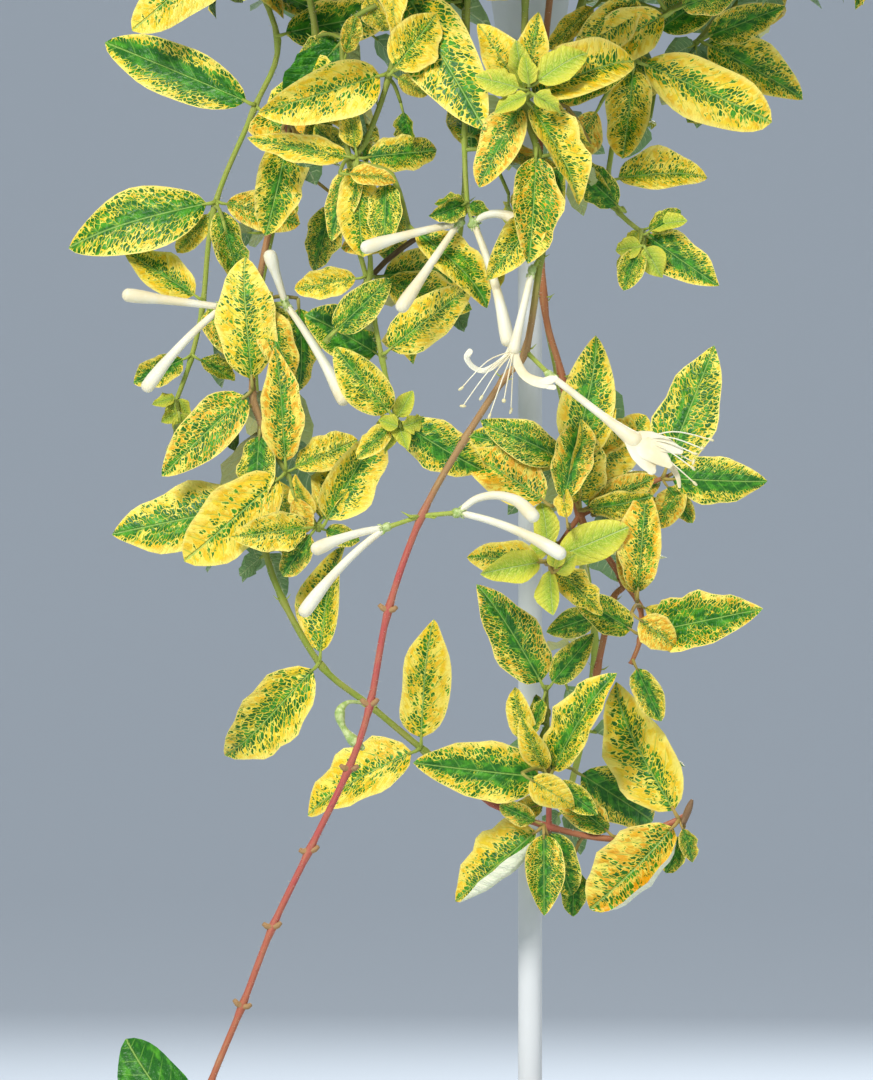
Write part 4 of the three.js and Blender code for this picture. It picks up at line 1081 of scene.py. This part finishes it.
class Piece:
    """Many small meshes of one kind, joined into one object. All but the floor, which has no slot, are attached to
    the root body and hide the parts of the solids that they stand for.
    """

    def __init__(self, name, material, slot="foliage", nodes=FOLIAGE_NODES):
        self.name, self.material, self.slot, self.nodes = name, material, slot, nodes
        self.bm = bmesh.new()

    def take(self, bm):
        """Joins a small mesh, which is used up"""
        part = bpy.data.meshes.new("part")
        bm.to_mesh(part)
        bm.free()
        self.bm.from_mesh(part)
        bpy.data.meshes.remove(part)

    def finish(self):
        bmesh.ops.scale(self.bm, vec=(MM, MM, MM), verts=self.bm.verts)
        for face in self.bm.faces:
            face.smooth = True
        mesh = bpy.data.meshes.new(self.name)
        self.bm.to_mesh(mesh)
        self.bm.free()
        mesh.materials.append(self.material)
        piece = placed(self.name, mesh)
        if self.slot:
            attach(piece, "root")
            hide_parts(*self.nodes)
        return piece


def turn_to(way):
    """The turn from upright to a direction"""
    return Vector((0, 0, 1)).rotation_difference(way).to_matrix().to_4x4()


def limb(centres, radii, sides, tones=None, flat=None):
    """A round limb: a ring that is drawn on from centre to centre and closed at both ends. It takes one tone or
    one for each centre. A limb that is flat is pressed along a direction to a share of its thickness."""
    centres = [Vector(c) for c in centres]
    last = len(centres) - 1
    ways = [(centres[min(i + 1, last)] - centres[max(i - 1, 0)]).normalized() for i in range(last + 1)]
    if isinstance(tones, tuple):
        tones = [tones] * len(centres)
    bm = bmesh.new()
    if tones:
        tone = bm.verts.layers.float_color.new("tone")
        skin_place = bm.verts.layers.float_vector.new("skin")
    start = Matrix.Translation(centres[0]) @ turn_to(ways[0])
    ring = bmesh.ops.create_circle(bm, cap_ends=True, segments=sides, radius=radii[0], matrix=start)["verts"]
    rings, edges, run = [ring], list(bm.edges), 0
    if tones:
        for i, vert in enumerate(ring):
            turn = 2 * math.pi * i / sides
            vert[tone] = (*tones[0], 1)
            vert[skin_place] = (radii[0] * math.cos(turn), radii[0] * math.sin(turn), 0)
    for i in range(1, last + 1):
        turn = ways[i - 1].rotation_difference(ways[i]).to_matrix().to_4x4()
        move = (Matrix.Translation(centres[i]) @ turn @ Matrix.Scale(radii[i] / radii[i - 1], 4)
                @ Matrix.Translation(-centres[i - 1]))
        grown = bmesh.ops.extrude_edge_only(bm, edges=edges)["geom"]
        edges = [item for item in grown if isinstance(item, bmesh.types.BMEdge)]
        ring = [item for item in grown if isinstance(item, bmesh.types.BMVert)]
        bmesh.ops.transform(bm, matrix=move, verts=ring)
        rings.append(ring)
        run += (centres[i] - centres[i - 1]).length
        if tones:
            for vert in ring:
                vert[tone] = (*tones[i], 1)
                vert[skin_place] = (*vert[skin_place].xy, run)
    if flat:
        for ring, centre, way in zip(rings, centres, ways):
            across = (Vector(flat[0]) - way * way.dot(Vector(flat[0]))).normalized()
            for vert in ring:
                vert.co -= across * across.dot(vert.co - centre) * (1 - flat[1])
    bmesh.ops.edgeloop_fill(bm, edges=edges)
    bmesh.ops.recalc_face_normals(bm, faces=bm.faces)
    return bm


def spun(profile, segments, bevel=0.0):
    """A round piece from its profile of radius and height pairs"""
    bm = bmesh.new()
    verts = [bm.verts.new((radius, 0, height)) for radius, height in profile]
    for first, second in zip(verts, verts[1:]):
        bm.edges.new((first, second))
    if bevel:
        inner = [vert for vert in verts if len(vert.link_edges) == 2]
        bmesh.ops.bevel(bm, geom=inner, offset=bevel, segments=3, profile=0.5, affect="VERTICES", material=-1)
    bmesh.ops.spin(bm, geom=bm.verts[:] + bm.edges[:], cent=(0, 0, 0), axis=(0, 0, 1), angle=2 * math.pi,
                   steps=segments, use_merge=True)
    bmesh.ops.remove_doubles(bm, verts=bm.verts, dist=0.001)
    bmesh.ops.recalc_face_normals(bm, faces=bm.faces)
    return bm


def grain(place, turn, sizes, subdivisions):
    """A small rounded grain"""
    bm = bmesh.new()
    bmesh.ops.create_icosphere(bm, subdivisions=subdivisions, radius=1)
    matrix = Matrix.Translation(Vector(place)) @ turn @ Matrix.Diagonal((*sizes, 1))
    bmesh.ops.transform(bm, matrix=matrix, verts=bm.verts)
    return bm


def mixed(first, second):
    """The tone half way between two"""
    return tuple((a + b) / 2 for a, b in zip(first, second))


def stem_tone(mass, height):
    """The colour of a mass's shoot at a height"""
    tones = STEM_TONES.get(mass, OTHER_STEMS)
    for (top, upper), (low, lower) in zip(tones, tones[1:]):
        if height >= low:
            part = min(max((top - height) / (top - low), 0), 1)
            return tuple(a + (b - a) * part for a, b in zip(upper, lower))
    return tones[-1][1]


# Shoots, with a small swelling at each node, and the stalks of leaves and flowers

SHOOT_STEPS = 6
SHOOT_SHARE = 0.84
SWELLING = 1.35
STALKED_LEAF = 10


def stem_limb(stem):
    """The limb of a stem, by its kind"""
    curve = stem.curve
    if stem.kind == "shoot":
        curve = smooth(stem.points, SHOOT_STEPS)
        radii = [radius * SHOOT_SHARE * (1 if i % SHOOT_STEPS else SWELLING)
                 for i, radius in enumerate(run_of(stem.radius, stem.end_radius, len(curve) - 1))]
        return limb(curve, radii, 8, [stem_tone(stem.mass, c[2]) for c in curve])
    if stem.kind == "twig":
        radii = run_of(stem.radius, stem.end_radius, len(curve) - 1)
        return limb(curve, radii, 6, [mixed(stem_tone(stem.mass, c[2]), OLIVE) for c in curve])
    if stem.kind == "old":
        return limb(curve, [1] * len(curve), 8, OLD_WOOD)
    if stem.kind == "collar":
        foot, middle, end = curve
        return limb([foot - (middle - foot) * 0.4, foot, middle, end], [1.2, 1.2, 1, 0.7], 8, TAN)
    if stem.kind == "bract":
        return limb(curve, [stem.radius * 0.8, stem.radius, 0.1], 8, PALE_OLIVE, (UP + FRONT * 0.3, 0.4))
    if stem.kind == "stub":
        return limb(curve, [1, 1.1, 1.2, 1.3, 1.2, 0.9, 0.5], 7, BROWN)
    return limb(smooth(stem.points, 3), [0.95, 0.8, 0.8, 1], 7, PALE_OLIVE)


bark = bark_material()
skin = stem_material()
netted = leaf_material()
petal = petal_material()
calyx = calyx_material()

shoot_piece = Piece("shoots", skin)
for stem in stems:
    if stem.kind not in ("bough", "tube"):
        shoot_piece.take(stem_limb(stem))
for leaf in leaves:
    if leaf.length < STALKED_LEAF:
        continue
    front = FRONT * leaf.forward
    places = [leaf.base + front * 0.4, leaf.place(0.55 * PETIOLE / leaf.length, 0) - UP * 0.3 + front * 0.6,
              leaf.place((PETIOLE + 1.5) / leaf.length, 0) + front * 0.7]
    size = 0.4 + leaf.length / 120
    shoot_piece.take(limb(places, [size, size * 0.9, size * 0.55], 6,
                          mixed(stem_tone(leaf.mass, leaf.base[2]), PALE_OLIVE)))
shoot_piece.finish()

# Fine hairs on the shoots that hang before the rest
HAIR_RADIUS = 0.07
HAIRS_PER_MM = 2.2
HAIR_TOP = 445
HAIRY_END = 420
hair_piece = Piece("hairs", hair_material())
hair_random = Dice(77)
for stem in stems:
    if stem.kind not in ("shoot", "stalk") or stem.curve[-1][2] > HAIRY_END:
        continue
    bm = bmesh.new()
    points = smooth(stem.points, SHOOT_STEPS)
    for first, second in zip(points, points[1:]):
        if first[2] > HAIR_TOP or first[1] > 0:
            continue
        way = unit(second - first)
        for hair in range(round(np.linalg.norm(second - first) * HAIRS_PER_MM)):
            side = turned_about(unit(np.cross(way, FRONT + 0.01)), way, hair_random(0, 2 * math.pi))
            foot = first + (second - first) * hair_random(0, 1) + side * stem.radius * 0.8
            out = Vector(unit(side + way * hair_random(-0.3, 0.3)))
            size = hair_random(0.7, 1.3)
            bmesh.ops.create_cone(bm, cap_ends=True, segments=3, radius1=HAIR_RADIUS, radius2=0, depth=size,
                                  matrix=Matrix.Translation(Vector(foot) + out * size / 2) @ turn_to(out))
    hair_piece.take(bm)
hair_piece.finish()

# Leaves

PLATE_DEPTH = 0.3
ROLL_RADIUS = 1.2
ROLL_TURN = 2.4


def look_of(leaf, random):
    """The small differences of a leaf: its fold, waves, twist, outline and tiles"""
    young = leaf.gold == LIME
    small = leaf.length < SMALL_LEAF
    return SimpleNamespace(
        fold=random(-0.15, 0.65), wave=random(0.3, 1.5) * (0.3 if leaf.rolled else 1), waves=random(1.2, 3.4),
        phase=random(0, 6.28), twist=random(-0.55, 0.55), hump=random(0.45, 0.64),
        blunt=random(0.54, 0.88) + (0.25 if small else 0), wobble=random(0.02, 0.09), tip_curl=random(-0.06, 0.2),
        petiole=1 if small else PETIOLE, column=random.pick(TILE_COLUMNS),
        row=YOUNG_ROW if young else 0 if leaf.gold == PLAIN else 1 + round(min(leaf.gold, 1) * 6),
        under=ROLLED_COLUMN if leaf.rolled else random.pick(4) + (3 if leaf.gold > 0.6 and not young else 0))


def blade_place(leaf, look, along, across, under):
    """A place on a leaf's blade, from 0 to 1 along it and -1 to 1 across it, on its upper or under side"""
    outline = along ** look.hump * (1 - along) ** look.blunt
    best = look.hump / (look.hump + look.blunt)
    outline /= best ** look.hump * (1 - best) ** look.blunt
    ripple = math.sin(along * 2 * math.pi * look.waves + look.phase + (2 if across > 0 else 0))
    half = max(leaf.width / 2 * outline * (1 + look.wobble * ripple), 0.45 * (1 - along))
    half *= (0.92 if look.petiole > 1 else 1.15) * leaf.breadth * (1.35 if leaf.rolled else 1)
    share = (look.petiole + along * (leaf.length - look.petiole)) / leaf.length
    twist = look.twist * along
    side = leaf.side * math.cos(twist) + leaf.normal * math.sin(twist)
    normal = leaf.normal * math.cos(twist) - leaf.side * math.sin(twist)
    fade = min(along * 5, 1) * min((1 - along) * 4, 1)
    height = look.fold * half * abs(across) ** 1.3 + look.wave * ripple * across ** 2 * fade
    height += leaf.width * 0.02 * math.sin(abs(across) * math.pi) * min((1 - along) * 12, 1)
    height -= look.tip_curl * leaf.length * along ** 4
    out, turn = half * across, 0
    if leaf.rolled and across > 0.5:
        arc = half * (across - 0.5)
        turn = min(arc / ROLL_RADIUS, ROLL_TURN)
        over = arc - ROLL_RADIUS * turn
        out = half * 0.5 + ROLL_RADIUS * math.sin(turn) + over * math.cos(turn)
        height = ROLL_RADIUS * (1 - math.cos(turn)) + over * math.sin(turn) + height * 0.5
    place = leaf.place(share, 0) + side * out + normal * height + FRONT * leaf.forward * min(share * 4, 1)
    if under:
        thickness = PLATE_DEPTH * (1 - across * across) * min(along * 8, 1) * min((1 - along) * 8, 1)
        place = place - (normal * math.cos(turn) - side * math.sin(turn)) * thickness
    return place


def along_of(x):
    """Rows stand closer near the base and the tip of a leaf"""
    share = (x + 1) / 2
    return min(max(0.5 * share + 0.25 * (1 - math.cos(math.pi * share)), 0), 1)


def leaf_mesh(leaf, look, rows, columns):
    """A leaf as an upper and an under sheet, from two grids that meet along the margin"""
    bm = bmesh.new()
    tiles = bm.loops.layers.uv.new("OFBake")
    for under, column, row in ((0, look.column, look.row), (1, look.under, UNDER_ROW)):
        verts = bmesh.ops.create_grid(bm, x_segments=rows, y_segments=columns, size=1)["verts"]
        faces = {face for vert in verts for face in vert.link_faces}
        for face in faces:
            face.material_index = under
            for loop in face.loops:
                x, y, _ = loop.vert.co
                loop[tiles].uv = ((column + GUTTER + along_of(x) * INSIDE) / TILE_COLUMNS,
                                  (row + GUTTER + (y + 1) / 2 * INSIDE) / TILE_ROWS)
        for vert in verts:
            x, y, _ = vert.co
            vert.co = blade_place(leaf, look, along_of(x), y, under)
        if under:
            bmesh.ops.reverse_faces(bm, faces=list(faces))
    bmesh.ops.remove_doubles(bm, verts=bm.verts, dist=0.002)
    for edge in bm.edges:
        edge.smooth = len({face.material_index for face in edge.link_faces}) == 1
    for face in bm.faces:
        face.material_index = 0
    return bm


def piece_of(leaf):
    """The name of the piece that a leaf belongs to"""
    if leaf.shown:
        return "leaves_shown"
    if leaf.gold == LIME:
        return "leaves_young"
    return "leaves_green" if leaf.gold < 0.35 else "leaves_netted" if leaf.gold < 0.7 else "leaves_golden"


look_random = Dice(21)
for name in ("leaves_shown", "leaves_green", "leaves_netted", "leaves_golden", "leaves_young"):
    piece = Piece(name, netted)
    for leaf in leaves:
        if piece_of(leaf) == name:
            rows, columns = LEAF_GRIDS[leaf.shown, leaf.length > BIG_LEAF]
            if leaf.rolled:
                columns = ROLLED_COLUMNS
            piece.take(leaf_mesh(leaf, look_of(leaf, look_random), rows, columns))
    piece.finish()

# Blossom

CALYX_RUNS = (-2.2, -1.2, 0, 0.7, 1.6)
CALYX_RADII = (0.7, 1.35, 1.45, 1.1, 1.25)
CALYX_TEETH = 5
TUBE_RADIUS = 1.05
STRAP_THICKNESS = 0.12
INNER_LIP = 8
STIGMA_SIZES = (0.75, 0.75, 0.75)
ANTHER_SIZES = (1.15, 0.5, 0.5)

flower_piece = Piece("blossom", petal)
calyx_piece = Piece("calyces", calyx)
anther_piece = Piece("anthers", anther_material())


def rounded(centres, radii):
    """A limb's centres and radii with a rounded end added"""
    way = unit(centres[-1] - centres[-2])
    last, radius = centres[-1], radii[-1]
    ends = ((0.35, 0.95), (0.65, 0.76), (0.85, 0.5), (0.95, 0.25))
    return centres + [last + way * radius * out for out, _ in ends], radii + [radius * share for _, share in ends]


def petal_strap(points, widths, lean):
    """A petal as a flat strap through its points, which is widest where its widths say"""
    centres = smooth(points, 4)
    radii = []
    for spot in run_of(0, len(widths) - 1, len(centres) - 1):
        low = min(int(spot), len(widths) - 2)
        radii.append((widths[low] + (widths[low + 1] - widths[low]) * (spot - low)) / 2)
    flower_piece.take(limb(*rounded(centres, radii), 14, flat=(lean, STRAP_THICKNESS)))


def hump(t, middle, width):
    """1 in the middle and less to both sides of it"""
    return math.exp(-((t - middle) / width) ** 2)


def calyx_at(foot, way):
    """A calyx round the foot of a tube, with five teeth"""
    calyx_piece.take(limb([foot + way * run for run in CALYX_RUNS], CALYX_RADII, 10))
    side = unit(np.cross(way, FRONT))
    for tooth in range(CALYX_TEETH):
        turn = tooth / CALYX_TEETH * 2 * math.pi
        out = side * math.cos(turn) + np.cross(way, side) * math.sin(turn)
        start = foot + way * 1.2 + out * 1.15
        calyx_piece.take(limb([start, start + way * 0.7 + out * 0.15, start + way * 1.3 + out * 0.35],
                              [0.4, 0.3, 0.08], 5))


flower_random = Dice(91)
flower_parts = iter(FLOWER_PARTS)
for kind, curve in tubes:
    centres = smooth(curve, 6)
    shares = run_of(0, 1, len(centres) - 1)
    way = unit(curve[1] - curve[0])
    if kind == "bud":
        radii = [TUBE_RADIUS + 0.85 * t ** 1.2 + 0.5 * hump(t, 0.9, 0.17) for t in shares]
        flower_piece.take(limb(*rounded(centres, radii), 14))
        calyx_at(curve[0], way)
        continue
    wide, lips, filaments = next(flower_parts)
    radii = [TUBE_RADIUS + 0.45 * t + (wide - 1.5) * (max(t - 0.55, 0) / 0.45) ** 2 for t in shares]
    flower_piece.take(limb(*rounded(centres, radii), 18))
    calyx_at(curve[0], way)
    mouth = curve[-1]
    for places, widths, lean in lips:
        points = [mouth + vec(*place) for place in places]
        if np.linalg.norm(places[0]) < INNER_LIP:
            points = [mouth - way * 5 + vec(*places[0]) * 0.12, mouth - way * 2 + vec(*places[0]) * 0.4, *points]
            widths = (1.6, *widths)
        petal_strap(points, widths, lean)
    for i, (*end, bow) in enumerate(filaments):
        end = vec(*end)
        centres = smooth([mouth - way * 5, mouth, mouth + end * 0.5 + vec(0, -1, bow), mouth + end], 5)
        flower_piece.take(limb(centres, run_of(0.3, 0.2, len(centres) - 1), 6))
        style = i == len(filaments) - 1
        turn = Matrix.Rotation(0 if style else flower_random(-1.3, 1.3), 4, "Y")
        anther_piece.take(grain(mouth + end, turn, STIGMA_SIZES if style else ANTHER_SIZES, 2))

# The green pod
pod_radii = [0.6 + 1.15 * hump(t, 0.45, 0.16) + 1.4 * hump(t, 0.84, 0.14) for t in run_of(0, 1, 25)]
calyx_piece.take(limb(*rounded(smooth([vec(*point) for point in POD], 5), pod_radii), 12))
flower_piece.finish()
calyx_piece.finish()
anther_piece.finish()

# Trunk and boughs with the relief of their bark

bark_piece = Piece("trunk_and_boughs", bark, "bark", ["trunk"] + [f"bough_{mass[0]}" for mass in MASSES])


def rough(bm, depth, pitch):
    """Pushes the skin of a limb in and out in long strips"""
    bm.normal_update()
    for vert in bm.verts:
        place = vert.co / pitch
        vert.co += vert.normal * depth * noise.fractal(Vector((place.x, place.y, place.z * 0.3)), 0.6, 2.2, 4)
    return bm


rises = run_of(0, TRUNK_HEIGHT, 24)
radii = [*map(trunk_radius, rises[:-2]), *TRUNK_END]
bark_piece.take(rough(limb(list(map(trunk_centre, rises)), radii, 32), 0.8, 4))
for mass in MASSES:
    radii = run_of(BOUGH_RADIUS, BOUGH_TIP_RADIUS, 30)
    bark_piece.take(rough(limb(bough_curve(mass[1], mass[2], 30), radii, 12), 0.5, 2.5))
bark_piece.finish()

# Pot, saucer, compost and stand

saucer_foot = PLATE_TOP + SEAT_GAP
wall_top = POT_RIM_RADIUS - RIM_OUT
wall_end = POT_TOP - RIM_HEIGHT
hub_foot = PLATE_TOP - HUB_HEIGHT
under = PLATE_TOP - PLATE_THICKNESS
plastic = pot_material()
pot_piece = Piece("pot_shell", plastic, "pot_plastic", ["pot"])
pot_piece.take(spun([
    (0, POT_FOOT), (POT_FOOT_RADIUS, POT_FOOT), (wall_top, wall_end), (POT_RIM_RADIUS - 0.6, wall_end),
    (POT_RIM_RADIUS, POT_TOP), (POT_RIM_RADIUS - POT_WALL, POT_TOP), (wall_top - POT_WALL, wall_end),
    (POT_FOOT_RADIUS - POT_WALL, POT_FOOT + POT_WALL), (0, POT_FOOT + POT_WALL)], ROUND_SIDES, 0.7))
pot_piece.finish()
saucer_piece = Piece("saucer_dish", plastic, "pot_plastic", ["saucer"])
saucer_piece.take(spun([
    (0, saucer_foot), (POT_FOOT_RADIUS + 4, saucer_foot), (SAUCER_RADIUS, saucer_foot + SAUCER_HEIGHT),
    (SAUCER_RADIUS - 2, saucer_foot + SAUCER_HEIGHT), (POT_FOOT_RADIUS + 3, saucer_foot + SAUCER_FLOOR),
    (0, saucer_foot + SAUCER_FLOOR)], ROUND_SIDES, 0.6))
saucer_piece.finish()

stand_piece = Piece("stand", stand_material(), "stand_paint", ["stand_base", "stand_post", "stand_head"])
stand_piece.take(spun([
    (0, 0), (BASE_RADIUS, 0), (BASE_RADIUS, BASE_THICKNESS - 2), (BASE_RADIUS - 4, BASE_THICKNESS),
    (BOSS_RADIUS + 8, BASE_THICKNESS), (BOSS_RADIUS + 1, BASE_THICKNESS + 4), (BOSS_RADIUS - 3, BOSS_TOP),
    (0, BOSS_TOP)], ROUND_SIDES, 0.8))
stand_piece.take(limb([vec(0, 0, z) for z in (BOSS_TOP - 5, 100, 200, 300, hub_foot + 5)], [POST_RADIUS] * 5, 32))
stand_piece.take(spun([
    (0, hub_foot), (BOSS_RADIUS - 3, hub_foot), (BOSS_RADIUS, under - 5), (BOSS_RADIUS + 8, under),
    (PLATE_RADIUS, under), (PLATE_RADIUS, PLATE_TOP), (0, PLATE_TOP)], ROUND_SIDES, 0.5))
stand_piece.finish()

compost_piece = Piece("compost_fill", compost_material(), "compost", ["compost"])
inside = wall_top - POT_WALL - SEAT_GAP
foot = POT_FOOT + POT_WALL + SEAT_GAP
heap = [(inside * (1 - i / 16), COMPOST_TOP - 3 + 3 * min(i / 8, 1)) for i in range(1, 17)]
compost_piece.take(spun(
    [(0, foot), (POT_FOOT_RADIUS - POT_WALL - SEAT_GAP, foot), (inside, wall_end - 1), *heap], 72))
chip_random = Dice(5)
for chip in range(CHIPS):
    compost_piece.take(grain(
        around(chip_random(0, 360), chip_random(15, 62), COMPOST_TOP - 1.6),
        Matrix.Rotation(chip_random(0, 6.28), 4, "Z") @ Matrix.Rotation(chip_random(-0.3, 0.3), 4, "X"),
        (chip_random(1, 3.4), chip_random(0.8, 1.8), chip_random(0.5, 1.0)), 1))
compost_piece.finish()

# A pale bowl of a floor, lamps and the camera

FLOOR_RADIUS = 15000
FLOOR_DROP = 0.2
floor_paint = Paint("pale floor", base_color=(0.62, 0.69, 0.76), roughness=0.9)
angles = run_of(0, math.pi / 2, 12)[1:]
bowl = [(FLOOR_RADIUS * (0.4 + 0.6 * math.sin(angle)), FLOOR_RADIUS * 0.6 * (1 - math.cos(angle)))
        for angle in angles]
floor_piece = Piece("floor", floor_paint.material, None)
floor_piece.take(spun([(0, -FLOOR_DROP), (FLOOR_RADIUS * 0.4, -FLOOR_DROP), *bowl], 64))
bmesh.ops.reverse_faces(floor_piece.bm, faces=floor_piece.bm.faces)
floor_piece.finish()

world = bpy.data.worlds.new("studio")
world.use_nodes = True
world.node_tree.nodes["Background"].inputs["Color"].default_value = (0.95, 0.97, 1.0, 1)
world.node_tree.nodes["Background"].inputs["Strength"].default_value = 0.56
bpy.context.scene.world = world
bpy.context.scene.view_settings.view_transform = "Standard"

for name, place, target, size, power in (("key", (-1.1, -2.2, 1.9), (0, 0, 0.35), 0.9, 76),
                                         ("fill", (1.9, -1.9, 0.9), (0, 0, 0.3), 1.6, 10),
                                         ("back", (0.6, 2.2, 1.6), (0, 0, 0.4), 1.4, 34)):
    data = bpy.data.lights.new(name, "AREA")
    data.shape = "DISK"
    data.size = size
    data.energy = power
    light = placed(name, data)
    light.location = place
    light.rotation_euler = (Vector(target) - Vector(place)).to_track_quat("-Z", "Y").to_euler()
    light.visible_camera = False

CAMERA_DISTANCE = 5.0
FRAME_HEIGHT = 0.36
SENSOR_HEIGHT = 24
camera_data = bpy.data.cameras.new("camera")
camera_data.sensor_fit = "VERTICAL"
camera_data.sensor_height = SENSOR_HEIGHT
camera_data.lens = SENSOR_HEIGHT * CAMERA_DISTANCE / FRAME_HEIGHT
camera = placed("camera", camera_data)
camera.location = (-0.0312, -CAMERA_DISTANCE, 0.26)
camera.rotation_euler = (math.pi / 2, 0, 0)
bpy.context.scene.camera = camera
